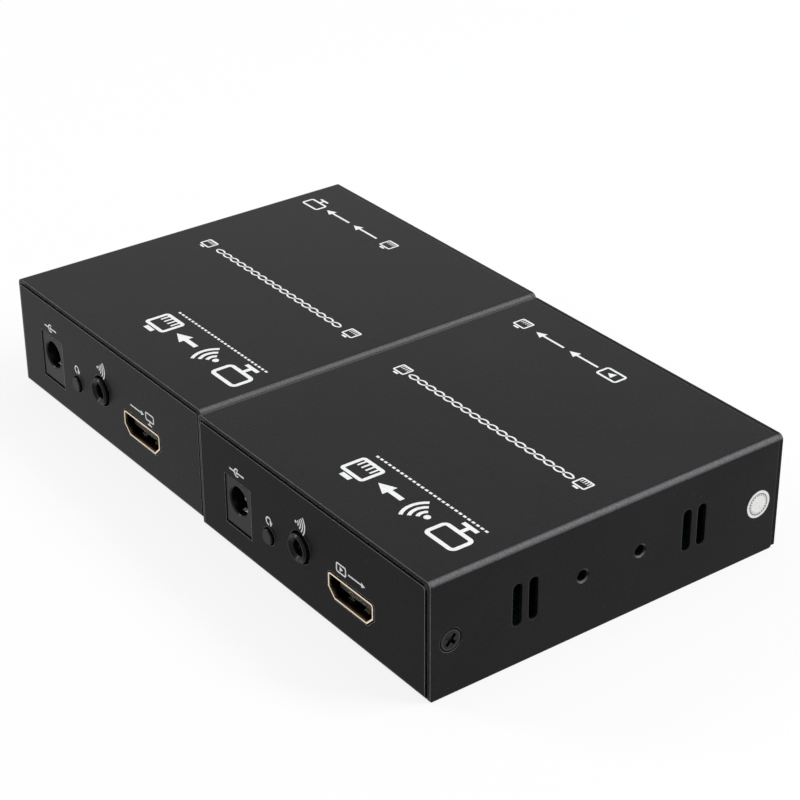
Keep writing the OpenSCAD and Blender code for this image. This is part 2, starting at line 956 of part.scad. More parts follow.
module infrared_jack_housing() {
    nose_l = infrared_proud + infrared_face;
    color(moulded_black)
        at_port(infrared_x)
            difference() {
                union() {
                    translate([-infrared_w / 2, infrared_face, 0])
                        cube([infrared_w, infrared_l, infrared_top]);
                    translate([0, -infrared_proud, infrared_axis])
                        rotate([-90, 0, 0]) {
                            cylinder(
                                h = infrared_chamfer,
                                r1 = infrared_nose_r - infrared_chamfer,
                                r2 = infrared_nose_r
                            );
                            translate([0, 0, infrared_chamfer])
                                cylinder(h = nose_l - infrared_chamfer, r = infrared_nose_r);
                        }
                }
                translate([0, -infrared_proud, infrared_axis])
                    rotate([-90, 0, 0]) {
                        mouth_cone(infrared_dish_r, infrared_bore_r, infrared_dish_l);
                        translate([0, 0, sleeve_start - fit])
                            cylinder(h = sleeve_l + 2 * fit, r = sleeve_r + fit);
                        cylinder(h = infrared_bore_l, r = infrared_bore_r);
                    }
                for (side = [0, 1])
                    mirror([side, 0, 0])
                        translate([
                            -infrared_w / 2 - overrun, infrared_face + infrared_slot_y,
                            infrared_axis - infrared_spring_w / 2 - leg_fit
                        ])
                            cube([
                                infrared_w / 2 + overrun, infrared_slot_l,
                                infrared_spring_w + 2 * leg_fit
                            ]);
            }
}

module infrared_jack_sleeve() {
    color(bright_steel)
        at_port(infrared_x)
            translate([0, sleeve_start - infrared_proud, infrared_axis])
                rotate([-90, 0, 0])
                    difference() {
                        cylinder(h = sleeve_l, r = sleeve_r);
                        translate([0, 0, -overrun])
                            cylinder(h = sleeve_l + 2 * overrun, r = infrared_bore_r);
                    }
}

module infrared_jack_springs() {
    start = infrared_face + infrared_slot_y + infrared_spring_t;
    touch = infrared_bore_r + infrared_spring_t;
    color(spring_bronze)
        at_port(infrared_x)
            for (side = [0, 1])
                mirror([side, 0, 0]) {
                    translate([0, 0, infrared_axis])
                        flat_strip([
                            [-infrared_leg_x, infrared_leg_y + infrared_spring_w / 2],
                            [-infrared_leg_x, start],
                            [-touch - infrared_spring_w, start],
                            [-touch, start + infrared_slot_l / 2],
                            [-touch - infrared_spring_t, start + infrared_slot_l - infrared_spring_w]
                        ], infrared_spring_t, infrared_spring_w);
                    leg(
                        -infrared_leg_x, infrared_leg_y, infrared_spring_t,
                        infrared_spring_w, infrared_axis, 0
                    );
                }
}

module infrared_legs(grow) {
    for (x = [-infrared_leg_x, infrared_leg_x])
        leg(x, infrared_leg_y, infrared_spring_t, infrared_spring_w, 0, grow);
}

// Video socket: a folded shell round a moulded tongue with contacts on both faces.
// Its section is wide at the top, with slanted lower corners, and inset moves every side inwards.
function video_outline(inset) =
    let (
        half = video_w / 2,
        knee = (sqrt(2) - 1) * inset
    )
    [
        [-half + inset, video_h - inset],
        [half - inset, video_h - inset],
        [half - inset, video_slant + knee],
        [half - video_slant - knee, inset],
        [-half + video_slant + knee, inset],
        [-half + inset, video_slant + knee]
    ];

module video_shape(inset) {
    intersection() {
        polygon(video_outline(inset));
        translate([inset - video_w / 2, inset])
            round_top(video_w - 2 * inset, video_h - 2 * inset, video_corner_r - inset);
    }
}

module along_video(y, l) {
    translate([0, y + l, video_lift])
        rotate([90, 0, 0])
            linear_extrude(l)
                children();
}

video_back = video_l - video_proud;
video_finger_root = video_finger_y + video_finger_l;

module video_socket_shell() {
    color(gold_plate)
        at_port(video_x)
            union() {
                difference() {
                    along_video(-video_proud, video_l)
                        difference() {
                            video_shape(0);
                            video_shape(video_t);
                        }
                    for (x = video_finger_xs)
                        for (z = [video_lift, video_lift + video_h])
                            translate([
                                x - video_finger_w / 2 - video_window_fit, video_finger_y,
                                z - video_t - fit
                            ])
                                cube([
                                    video_finger_w + 2 * video_window_fit, video_finger_l,
                                    2 * (video_t + fit)
                                ]);
                    translate([-tongue_w / 2, video_back - contact_back, video_lift - overrun])
                        cube([tongue_w, contact_back + overrun, video_t + fit + overrun]);
                }
                for (x = video_finger_xs)
                    translate([x, 0, video_lift]) {
                        video_finger(video_t / 2, 1);
                        video_finger(video_h - video_t / 2, -1);
                    }
                video_legs(0);
            }
}

// Spring finger that bows into the socket; side is 1 where it bows upwards
module video_finger(z, side) {
    strip([
        [video_finger_root + video_t, z],
        [video_finger_root - video_t, z],
        [video_finger_y + video_finger_l / 4, z + side * video_finger_bow],
        [video_finger_y + video_window_fit, z + side * video_finger_bow / 2]
    ], video_t, video_finger_w);
}

module video_legs(grow) {
    centre = video_w / 2 - video_t / 2;
    for (x = [-centre, centre])
        for (y = video_leg_ys)
            leg(x, y, video_t, video_leg_w, video_lift + video_slant + video_t, grow);
}

tongue_z = video_lift + video_h / 2;

module video_socket_tongue() {
    color(moulded_black)
        at_port(video_x)
            difference() {
                union() {
                    along_video(block_y, video_back - block_y - contact_back)
                        video_shape(video_t + fit);
                    translate([-tongue_w / 2, 0, 0])
                        rotate([90, 0, 90])
                            linear_extrude(tongue_w)
                                polygon([
                                    [tongue_y, tongue_z - tongue_t / 2 + tongue_tip],
                                    [tongue_y + tongue_tip, tongue_z - tongue_t / 2],
                                    [block_y + contact_t, tongue_z - tongue_t / 2],
                                    [block_y + contact_t, tongue_z + tongue_t / 2],
                                    [tongue_y + tongue_tip, tongue_z + tongue_t / 2],
                                    [tongue_y, tongue_z + tongue_t / 2 - tongue_tip]
                                ]);
                }
                for (side = [-1, 1])
                    video_contact_row(side)
                        translate([-contact_w / 2 - fit, contact_start - fit, contact_run(side)])
                            translate([0, 0, -contact_t / 2 - (side > 0 ? 0 : fit)])
                                cube([contact_w + 2 * fit, video_l, contact_t + fit]);
            }
}

// Height of a contact's middle on the tongue: side is 1 for the upper row and -1 for the lower row
function contact_run(side) = tongue_z + side * (tongue_t / 2 - contact_t / 2);

module video_contact_row(side) {
    count = side > 0 ? upper_contacts : lower_contacts;
    for (i = [0:count - 1])
        translate([(i - (count - 1) / 2) * contact_pitch, 0, 0])
            children();
}

module video_socket_contacts() {
    color(gold_plate)
        at_port(video_x)
            for (side = [-1, 1])
                video_contact_row(side)
                    video_contact(side);
}

// One contact runs along its face of the tongue, down behind the block and out onto the board
module video_contact(side) {
    drop = video_back - contact_back / 2;
    strip([
        [contact_start, contact_run(side)],
        [drop, contact_run(side)],
        [drop, contact_t / 2],
        [drop + contact_foot, contact_t / 2]
    ], contact_t, contact_w);
}

// Network jack for an eight-pole plug, latch side down
network_back = network_l - network_proud;

module network_opening(grow) {
    square_from_middle(network_cavity_w + 2 * grow, network_cavity_z - grow, network_cavity_h + 2 * grow);
    square_from_middle(latch_w + 2 * grow, network_cavity_z - latch_h - grow, latch_h + 2 * grow);
    square_from_middle(
        latch_slot_w + 2 * grow, network_cavity_z - latch_h - latch_slot_h - grow,
        latch_slot_h + 2 * grow
    );
}

module square_from_middle(w, z, h) {
    translate([-w / 2, z])
        square([w, h]);
}

module along_network(y, l) {
    translate([0, y + l, 0])
        rotate([90, 0, 0])
            linear_extrude(l)
                children();
}

module at_windows() {
    for (x = [-window_x, window_x])
        translate([x, 0, window_z])
            children();
}

module at_wires() {
    for (i = [0:network_wires - 1])
        translate([(i - (network_wires - 1) / 2) * network_pitch, 0, 0])
            children();
}

module network_jack_housing() {
    inner_w = network_w - 2 * (shield_t + fit);
    front = shield_t + fit - network_proud;
    color(moulded_black)
        at_rear(network_x)
            difference() {
                translate([-inner_w / 2, front, 0])
                    cube([inner_w, network_back - shield_t - fit - front, network_h - shield_t - fit]);
                along_network(front - overrun, network_cavity_l + overrun)
                    network_opening(0);
                at_wires()
                    translate([-wire_slot_w / 2, wire_front - wire_slot_w, wire_slot_z])
                        cube([wire_slot_w, network_back, wire_top + wire_slot_h - wire_slot_z]);
                translate([-network_cavity_w / 2, wire_tail_y - wire_slot_h * 2, -overrun])
                    cube([network_cavity_w, network_l, wire_top + wire_slot_h + overrun]);
                at_windows()
                    translate([-window_w / 2 - fit, -overrun, -window_h / 2 - fit])
                        cube([window_w + 2 * fit, window_l + overrun + fit, window_h + 2 * fit]);
            }
}

module network_jack_shield() {
    color(bright_steel)
        at_rear(network_x)
            union() {
                difference() {
                    translate([-network_w / 2, -network_proud, 0])
                        cube([network_w, network_l, network_h]);
                    translate([shield_t - network_w / 2, shield_t - network_proud, -overrun])
                        cube([
                            network_w - 2 * shield_t, network_l - 2 * shield_t,
                            network_h - shield_t + overrun
                        ]);
                    along_network(-network_proud - overrun, shield_t + 2 * overrun)
                        network_opening(window_rim / 2);
                    at_windows()
                        translate([
                            window_rim - window_w / 2, -network_proud - overrun,
                            window_rim - window_h / 2
                        ])
                            cube([
                                window_w - 2 * window_rim, shield_t + 2 * overrun,
                                window_h - 2 * window_rim
                            ]);
                }
                network_legs(0);
            }
}

module network_legs(grow) {
    centre = network_w / 2 - shield_t / 2;
    for (x = [-centre, centre])
        leg(x, network_leg_y, shield_t, network_leg_w, network_leg_w, grow);
}

module network_tails(grow) {
    at_wires()
        leg(0, wire_tail_y, wire_w, wire_t, 0, grow);
}

// Eight sprung wires that run forward under the roof and fold back down into the cavity
module network_jack_contacts() {
    color(gold_plate)
        at_rear(network_x)
            at_wires()
                strip([
                    [wire_tip_y, wire_tip_z],
                    [wire_front + wire_t, wire_top - wire_t * 2],
                    [wire_front + wire_t, wire_top],
                    [wire_tail_y, wire_top],
                    [wire_tail_y, -leg_drop]
                ], wire_t, wire_w);
}

module network_jack_lamps() {
    front = shield_t + fit - network_proud;
    color("#d8e6c8")
        at_rear(network_x)
            at_windows()
                translate([-window_w / 2, front, -window_h / 2])
                    cube([window_w, window_l - front, window_h]);
}

// Round status lamps behind the network panel
module status_lamps() {
    dome = lamp_r - lamp_proud;
    color("#dfe9e2")
        at_lamps() {
            translate([0, dome, lamp_axis]) {
                sphere(lamp_r);
                rotate([-90, 0, 0])
                    cylinder(h = lamp_body_l - dome, r = lamp_r);
            }
            translate([0, lamp_body_l - lamp_flange_l, lamp_axis])
                rotate([-90, 0, 0])
                    cylinder(h = lamp_flange_l, r = lamp_flange_r);
            for (x = [-lamp_lead_gap / 2, lamp_lead_gap / 2])
                translate([x, 0, 0])
                    strip([
                        [lamp_body_l - lamp_lead_w, lamp_axis],
                        [lamp_body_l + lamp_lead_gap, lamp_axis],
                        [lamp_body_l + lamp_lead_gap, -leg_drop]
                    ], lamp_lead_w, lamp_lead_w);
        }
}

module lamp_legs(grow) {
    for (x = [-lamp_lead_gap / 2, lamp_lead_gap / 2])
        leg(x, lamp_body_l + lamp_lead_gap, lamp_lead_w, lamp_lead_w, 0, grow);
}

// Network transformer with gull-wing leads, in line behind the network jack
module network_transformer() {
    back = body_d + rear_proud - network_back - transformer_gap - transformer_l / 2;
    color(moulded_black)
        translate([network_x, back, board_top])
            union() {
                translate([-transformer_w / 2, -transformer_l / 2, transformer_lead_t])
                    cube([transformer_w, transformer_l, transformer_h]);
                for (side = [0, 1])
                    mirror([0, side, 0])
                        for (i = [0:transformer_leads - 1])
                            translate([(i - (transformer_leads - 1) / 2) * transformer_lead_pitch, 0, 0])
                                gull_wing();
            }
}

module gull_wing() {
    foot = transformer_lead_t / 2;
    edge = transformer_l / 2;
    strip([
        [edge - transformer_lead_w, transformer_h / 3],
        [edge + transformer_lead_reach / 2, transformer_h / 3],
        [edge + transformer_lead_reach / 2, foot],
        [edge + transformer_lead_reach, foot]
    ], transformer_lead_t, transformer_lead_w);
}

module main_chip() {
    color(moulded_black)
        translate([chip_x - chip_w / 2, chip_y - chip_w / 2, board_top])
            cube([chip_w, chip_w, chip_h]);
}

module heat_sink() {
    color("#8f9396")
        translate([chip_x - sink_w / 2, chip_y - sink_w / 2, board_top + chip_h])
            union() {
                cube([sink_w, sink_w, sink_base]);
                for (i = [0:sink_fins - 1])
                    translate([i * (sink_w - sink_fin_t) / (sink_fins - 1), 0, 0])
                        cube([sink_fin_t, sink_w, sink_h]);
            }
}

module memory_chips() {
    color(moulded_black)
        for (side = [-1, 1])
            translate([
                chip_x - memory_w / 2 + side * (memory_w + memory_gap) / 2,
                chip_y - sink_w / 2 - memory_gap - memory_l, board_top
            ])
                cube([memory_w, memory_l, memory_h]);
}

module capacitors() {
    color(bright_steel)
        for (i = [0:2])
            translate([power_x, capacitor_y + i * capacitor_pitch, board_top])
                difference() {
                    cylinder(h = capacitor_h, r = capacitor_r);
                    translate([0, 0, capacitor_groove_z])
                        rotate_extrude()
                            translate([capacitor_r, 0])
                                circle(capacitor_groove);
                }
}

in_transmitter() top_cover();  // transmitter_top_cover
in_transmitter() bottom_tray();  // transmitter_bottom_tray
in_transmitter() cover_screws();  // transmitter_cover_screws
in_transmitter() board_standoffs();  // transmitter_board_standoffs
in_transmitter() circuit_board();  // transmitter_circuit_board
in_transmitter() board_screws();  // transmitter_board_screws
in_transmitter() power_jack_housing();  // transmitter_power_jack_housing
in_transmitter() power_jack_pin();  // transmitter_power_jack_pin
in_transmitter() power_jack_spring();  // transmitter_power_jack_spring
in_transmitter() reset_switch_body();  // transmitter_reset_switch_body
in_transmitter() reset_switch_frame();  // transmitter_reset_switch_frame
in_transmitter() reset_switch_dome();  // transmitter_reset_switch_dome
in_transmitter() reset_button();  // transmitter_reset_button
in_transmitter() infrared_jack_housing();  // transmitter_infrared_jack_housing
in_transmitter() infrared_jack_sleeve();  // transmitter_infrared_jack_sleeve
in_transmitter() infrared_jack_springs();  // transmitter_infrared_jack_springs
in_transmitter() video_socket_shell();  // transmitter_video_socket_shell
in_transmitter() video_socket_tongue();  // transmitter_video_socket_tongue
in_transmitter() video_socket_contacts();  // transmitter_video_socket_contacts
in_transmitter() network_jack_housing();  // transmitter_network_jack_housing
in_transmitter() network_jack_shield();  // transmitter_network_jack_shield
in_transmitter() network_jack_contacts();  // transmitter_network_jack_contacts
in_transmitter() network_jack_lamps();  // transmitter_network_jack_lamps
in_transmitter() status_lamps();  // transmitter_status_lamps
in_transmitter() network_transformer();  // transmitter_network_transformer
in_transmitter() main_chip();  // transmitter_main_chip
in_transmitter() heat_sink();  // transmitter_heat_sink
in_transmitter() memory_chips();  // transmitter_memory_chips
in_transmitter() capacitors();  // transmitter_capacitors
in_transmitter() seal();  // transmitter_seal
in_receiver() top_cover();  // receiver_top_cover
in_receiver() bottom_tray();  // receiver_bottom_tray
in_receiver() cover_screws();  // receiver_cover_screws
in_receiver() board_standoffs();  // receiver_board_standoffs
in_receiver() circuit_board();  // receiver_circuit_board
in_receiver() board_screws();  // receiver_board_screws
in_receiver() power_jack_housing();  // receiver_power_jack_housing
in_receiver() power_jack_pin();  // receiver_power_jack_pin
in_receiver() power_jack_spring();  // receiver_power_jack_spring
in_receiver() reset_switch_body();  // receiver_reset_switch_body
in_receiver() reset_switch_frame();  // receiver_reset_switch_frame
in_receiver() reset_switch_dome();  // receiver_reset_switch_dome
in_receiver() reset_button();  // receiver_reset_button
in_receiver() infrared_jack_housing();  // receiver_infrared_jack_housing
in_receiver() infrared_jack_sleeve();  // receiver_infrared_jack_sleeve
in_receiver() infrared_jack_springs();  // receiver_infrared_jack_springs
in_receiver() video_socket_shell();  // receiver_video_socket_shell
in_receiver() video_socket_tongue();  // receiver_video_socket_tongue
in_receiver() video_socket_contacts();  // receiver_video_socket_contacts
in_receiver() network_jack_housing();  // receiver_network_jack_housing
in_receiver() network_jack_shield();  // receiver_network_jack_shield
in_receiver() network_jack_contacts();  // receiver_network_jack_contacts
in_receiver() network_jack_lamps();  // receiver_network_jack_lamps
in_receiver() status_lamps();  // receiver_status_lamps
in_receiver() network_transformer();  // receiver_network_transformer
in_receiver() main_chip();  // receiver_main_chip
in_receiver() heat_sink();  // receiver_heat_sink
in_receiver() memory_chips();  // receiver_memory_chips
in_receiver() capacitors();  // receiver_capacitors
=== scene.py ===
import json
import math

import bmesh
import bpy
from mathutils import Matrix, Vector


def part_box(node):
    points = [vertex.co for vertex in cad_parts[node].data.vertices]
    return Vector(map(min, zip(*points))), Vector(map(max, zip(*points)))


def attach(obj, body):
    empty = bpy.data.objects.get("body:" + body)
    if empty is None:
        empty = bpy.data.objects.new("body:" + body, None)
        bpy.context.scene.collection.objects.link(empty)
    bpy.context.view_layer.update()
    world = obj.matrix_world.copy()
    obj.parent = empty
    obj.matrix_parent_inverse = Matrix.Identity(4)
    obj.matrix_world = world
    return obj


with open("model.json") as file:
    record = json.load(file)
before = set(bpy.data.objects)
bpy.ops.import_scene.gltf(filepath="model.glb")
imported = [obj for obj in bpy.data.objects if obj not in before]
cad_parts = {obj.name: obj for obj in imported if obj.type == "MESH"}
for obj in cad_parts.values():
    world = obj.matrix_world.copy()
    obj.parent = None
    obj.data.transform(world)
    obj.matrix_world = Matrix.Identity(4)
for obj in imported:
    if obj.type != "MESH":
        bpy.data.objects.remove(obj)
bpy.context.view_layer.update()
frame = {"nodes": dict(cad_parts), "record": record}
print("frame loaded:", len(frame["nodes"]), "CAD nodes")

boxNames = ("transmitter", "receiver")
mm = 0.001


# camera at the photograph's angle, worked out for an 800 x 800 frame; angles are in degrees, lens and
# sensor in mm
cameraSet = {
    "place": (0.35131, -0.252855, 0.25618),
    "azimuth": 53.53,
    "elevation": 29.16,
    "roll": -0.334,
    "lens": 100.45,
    "sensor": 36,
    "clip": (0.01, 20),
}


def makeCamera(values):
    az, el, roll = (math.radians(values[k]) for k in ("azimuth", "elevation", "roll"))
    ahead = Vector((-math.sin(az) * math.cos(el), math.cos(az) * math.cos(el), -math.sin(el)))
    right = Vector((math.cos(az), math.sin(az), 0))
    up = right.cross(ahead)
    across = right * math.cos(roll) + up * math.sin(roll)
    upward = up * math.cos(roll) - right * math.sin(roll)
    turn = Matrix((across, upward, -ahead)).transposed().to_4x4()
    data = bpy.data.cameras.new("camera")
    data.lens = values["lens"]
    data.sensor_width = values["sensor"]
    data.clip_start, data.clip_end = values["clip"]
    camera = bpy.data.objects.new("camera", data)
    camera.matrix_world = Matrix.Translation(values["place"]) @ turn
    bpy.context.scene.collection.objects.link(camera)
    bpy.context.scene.camera = camera


makeCamera(cameraSet)


# materials: one function turns a hex colour to linear by the sRGB curve, and one adds every node with its
# settings, a ramp's stops and its links
def hexColour(code):
    parts = [int(code[i:i + 2], 16) / 255 for i in (1, 3, 5)]
    linear = [c / 12.92 if c <= 0.04045 else ((c + 0.055) / 1.055) ** 2.4 for c in parts]
    return (*linear, 1.0)


def addNode(tree, kind, inputs=None, stops=(), **settings):
    made = tree.nodes.new(kind)
    for name, value in settings.items():
        setattr(made, name, value)
    for name, value in (inputs or {}).items():
        if isinstance(value, bpy.types.NodeSocket):
            tree.links.new(value, made.inputs[name])
        else:
            made.inputs[name].default_value = value
    if stops:
        elements = made.color_ramp.elements
        while len(elements) < len(stops):
            elements.new(0.5)
        for element, (at, code) in zip(elements, stops):
            element.position = at
            element.color = hexColour(code)
    return made


def newMaterial(name):
    material = bpy.data.materials.new(name)
    material.use_nodes = True
    tree = material.node_tree
    shader = tree.nodes["Principled BSDF"]
    place = addNode(tree, "ShaderNodeTexCoord").outputs["Object"]
    return material, tree, shader, place


def axesFromMiddle(tree, place, low, high):
    inputs = {"Vector": place, "Location": -(low + high) / 2}
    moved = addNode(tree, "ShaderNodeMapping", inputs, vector_type="POINT").outputs["Vector"]
    return addNode(tree, "ShaderNodeSeparateXYZ", {"Vector": moved}).outputs


def radiusOf(tree, across, upward):
    flat = addNode(tree, "ShaderNodeCombineXYZ", {"X": across, "Y": upward}).outputs["Vector"]
    return addNode(tree, "ShaderNodeVectorMath", {0: flat}, operation="LENGTH").outputs["Value"]


# polyester powder coat on steel sheet: satin black with a fine orange peel and light specks, which are
# partly painted sparkle; a painted highlight along the bends between top and sides, grainy in patches, and
# a painted highlight on the edges, bright at the port panels and faint further back; lengths are in metres,
# and the specks are drawn coarser than the real 0.1 mm so that they show
powderSet = {
    "dark": "#111112",
    "light": "#171718",
    # grain colours the light specks, partly painted sparkle; the next two colours are painted highlights,
    # on the bends and on the edges
    "grain": "#4a4a4c",
    "paintedBendHighlight": "#6c6c6e",
    "edge": "#a4a4a7",
    "cloud": 0.018,
    "cloudStops": (0.3, 0.7),
    "peel": 0.00036,
    "peelRoughness": 0.45,
    "speck": 0.0008,
    "speckRadii": (0.05, 0.16),
    "speckShare": 0.4,
    "patchNoise": (0.3, 0.7),
    "patchShares": (0.55, 1.0),
    "bend": (0.12, 0.45),
    "corner": 0.00028,
    "cornerTurn": (0.98, 0.76),
    "reach": 0.001,
    "fade": 0.003,
    # shares of the painted edge highlight at the front and further back
    "frontEdgeHighlight": 0.9,
    "backEdgeHighlight": 0.12,
    "roughness": (0.34, 0.44),
    "bevel": 0.0004,
    "samples": 8,
    "bump": 0.8,
    "depth": 0.00005,
    "shine": 0.09,
}


def powderCoatedSteel(name, values):
    material, tree, shader, place = newMaterial(name)
    inputs = {"Vector": place, "Scale": 1 / values["cloud"], "Detail": 3.0}
    cloud = addNode(tree, "ShaderNodeTexNoise", inputs).outputs["Fac"]
    inputs = {
        "Vector": place,
        "Scale": 1 / values["peel"],
        "Detail": 2.0,
        "Roughness": values["peelRoughness"],
    }
    peel = addNode(tree, "ShaderNodeTexNoise", inputs).outputs["Fac"]
    darkAt, lightAt = values["cloudStops"]
    stops = [(darkAt, values["dark"]), (lightAt, values["light"])]
    base = addNode(tree, "ShaderNodeValToRGB", {"Fac": cloud}, stops).outputs["Color"]
    # the coat's light specks, drawn bright enough to stand for sparkle as well: partly painted highlight
    speck = addNode(tree, "ShaderNodeTexVoronoi", {"Vector": place, "Scale": 1 / values["speck"]})
    low, high = values["speckRadii"]
    inputs = {
        "Value": speck.outputs["Distance"],
        "From Min": low,
        "From Max": high,
        "To Min": values["speckShare"],
        "To Max": 0.0,
    }
    sparkleDots = addNode(tree, "ShaderNodeMapRange", inputs).outputs["Result"]
    inputs = {"Factor": sparkleDots, "A": base, "B": hexColour(values["grain"])}
    tone = addNode(tree, "ShaderNodeMix", inputs, data_type="RGBA").outputs["Result"]

    # painted highlight: where the normal leans both sideways and up, on the bends between top and sides,
    # the colour is drawn lighter, in patches from the peel noise so that it looks grainy
    normal = tree.nodes["Texture Coordinate"].outputs["Normal"]
    facing = addNode(tree, "ShaderNodeSeparateXYZ", {"Vector": normal}).outputs
    inputs = {0: facing["X"], 1: facing["Z"]}
    slope = addNode(tree, "ShaderNodeMath", inputs, operation="MULTIPLY").outputs["Value"]
    bend = addNode(tree, "ShaderNodeMath", {0: slope}, operation="ABSOLUTE").outputs["Value"]
    low, high = values["patchNoise"]
    least, most = values["patchShares"]
    inputs = {"Value": peel, "From Min": low, "From Max": high, "To Min": least, "To Max": most}
    patchy = addNode(tree, "ShaderNodeMapRange", inputs).outputs["Result"]
    low, high = values["bend"]
    inputs = {"Value": bend, "From Min": low, "From Max": high, "To Max": patchy}
    bendHighlightShare = addNode(tree, "ShaderNodeMapRange", inputs).outputs["Result"]
    inputs = {"Factor": bendHighlightShare, "A": tone, "B": hexColour(values["paintedBendHighlight"])}
    paintedBendHighlight = addNode(tree, "ShaderNodeMix", inputs, data_type="RGBA").outputs["Result"]

    # painted highlight: edges, where the bevelled normal turns away from the true one, are drawn near
    # white, strongly at the front and faintly further back
    inputs = {"Radius": values["corner"]}
    corner = addNode(tree, "ShaderNodeBevel", inputs, samples=values["samples"]).outputs["Normal"]
    normals = {0: corner, 1: addNode(tree, "ShaderNodeNewGeometry").outputs["Normal"]}
    turned = addNode(tree, "ShaderNodeVectorMath", normals, operation="DOT_PRODUCT").outputs["Value"]
    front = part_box("receiver_top_cover")[0].y + values["reach"]
    inputs = {
        "Value": addNode(tree, "ShaderNodeSeparateXYZ", {"Vector": place}).outputs["Y"],
        "From Min": front,
        "From Max": front + values["fade"],
        "To Min": values["frontEdgeHighlight"],
        "To Max": values["backEdgeHighlight"],
    }
    edgeHighlightReach = addNode(tree, "ShaderNodeMapRange", inputs).outputs["Result"]
    low, high = values["cornerTurn"]
    inputs = {"Value": turned, "From Min": low, "From Max": high, "To Max": edgeHighlightReach}
    edgeHighlightShare = addNode(tree, "ShaderNodeMapRange", inputs).outputs["Result"]
    inputs = {"Factor": edgeHighlightShare, "A": paintedBendHighlight, "B": hexColour(values["edge"])}
    paintedHighlight = addNode(tree, "ShaderNodeMix", inputs, data_type="RGBA").outputs["Result"]
    tree.links.new(paintedHighlight, shader.inputs["Base Color"])

    least, most = values["roughness"]
    inputs = {"Value": cloud, "To Min": least, "To Max": most}
    sheen = addNode(tree, "ShaderNodeMapRange", inputs).outputs["Result"]
    tree.links.new(sheen, shader.inputs["Roughness"])
    inputs = {"Radius": values["bevel"]}
    edge = addNode(tree, "ShaderNodeBevel", inputs, samples=values["samples"]).outputs["Normal"]
    inputs = {"Strength": values["bump"], "Distance": values["depth"], "Height": peel, "Normal": edge}
    tree.links.new(addNode(tree, "ShaderNodeBump", inputs).outputs["Normal"], shader.inputs["Normal"])
    shader.inputs["Specular IOR Level"].default_value = values["shine"]
    return material


# moulded plastic: fine spark-eroded grain from the mould
plasticSet = {
    "grain": 0.00016,
    "flowScale": 180.0,
    "stops": (0.3, 0.7),
    "bevel": 0.00008,
    "samples": 4,
    "bump": 0.3,
    "depth": 0.00002,
}


def mouldedPlastic(name, dark, light, roughness, shine=0.5):
    values = plasticSet
    material, tree, shader, place = newMaterial(name)
    inputs = {"Vector": place, "Scale": 1 / values["grain"], "Detail": 2.0}
    grain = addNode(tree, "ShaderNodeTexNoise", inputs).outputs["Fac"]
    inputs = {"Vector": place, "Scale": values["flowScale"], "Detail": 1.0}
    flow = addNode(tree, "ShaderNodeTexNoise", inputs).outputs["Fac"]
    stops = list(zip(values["stops"], (dark, light)))
    base = addNode(tree, "ShaderNodeValToRGB", {"Fac": flow}, stops).outputs["Color"]
    tree.links.new(base, shader.inputs["Base Color"])
    inputs = {"Radius": values["bevel"]}
    edge = addNode(tree, "ShaderNodeBevel", inputs, samples=values["samples"]).outputs["Normal"]
    inputs = {"Strength": values["bump"], "Distance": values["depth"], "Height": grain, "Normal": edge}
    tree.links.new(addNode(tree, "ShaderNodeBump", inputs).outputs["Normal"], shader.inputs["Normal"])
    shader.inputs["Roughness"].default_value = roughness
    shader.inputs["Specular IOR Level"].default_value = shine
    return material


# plated or bare metal: faint rolling or drawing marks along one axis, which is the small number in along
metalSet = {
    "grain": 0.00025,
    "stops": (0.35, 0.65),
    "smoother": 0.05,
    "rougher": 0.08,
    "bump": 0.2,
    "depth": 0.00001,
}


def rolledMetal(name, dark, light, roughness, along=(0.08, 1.0, 1.0)):
    values = metalSet
    material, tree, shader, place = newMaterial(name)
    stretch = addNode(tree, "ShaderNodeMapping", {"Vector": place, "Scale": along}).outputs["Vector"]
    inputs = {"Vector": stretch, "Scale": 1 / values["grain"], "Detail": 2.0}
    lines = addNode(tree, "ShaderNodeTexNoise", inputs).outputs["Fac"]
    stops = list(zip(values["stops"], (dark, light)))
    base = addNode(tree, "ShaderNodeValToRGB", {"Fac": lines}, stops).outputs["Color"]
    tree.links.new(base, shader.inputs["Base Color"])
    least, most = roughness - values["smoother"], roughness + values["rougher"]
    inputs = {"Value": lines, "To Min": least, "To Max": most}
    sheen = addNode(tree, "ShaderNodeMapRange", inputs).outputs["Result"]
    tree.links.new(sheen, shader.inputs["Roughness"])
    inputs = {"Strength": values["bump"], "Distance": values["depth"], "Height": lines}
    tree.links.new(addNode(tree, "ShaderNodeBump", inputs).outputs["Normal"], shader.inputs["Normal"])
    shader.inputs["Metallic"].default_value = 1.0
    return material


# black zinc on countersunk screws: painted shade in a dark ring round each head, standing for the gap to
# the countersink, and inside it a painted highlight on the rim; blend, rim and edge are shares of the
# head's radius
screwSet = {
    "face": "#2c2c2e",
    # the next two colours are a painted highlight on the rim and painted shade round the head
    "paintedHighlight": "#48484b",
    "paintedGapShade": "#060607",
    "radius": 0.0026,
    "blend": 0.1,
    "rim": 0.82,
    "edge": 0.88,
    "roughness": 0.34,
    "scratchScale": 2600.0,
    "bump": 0.3,
    "depth": 0.00001,
}


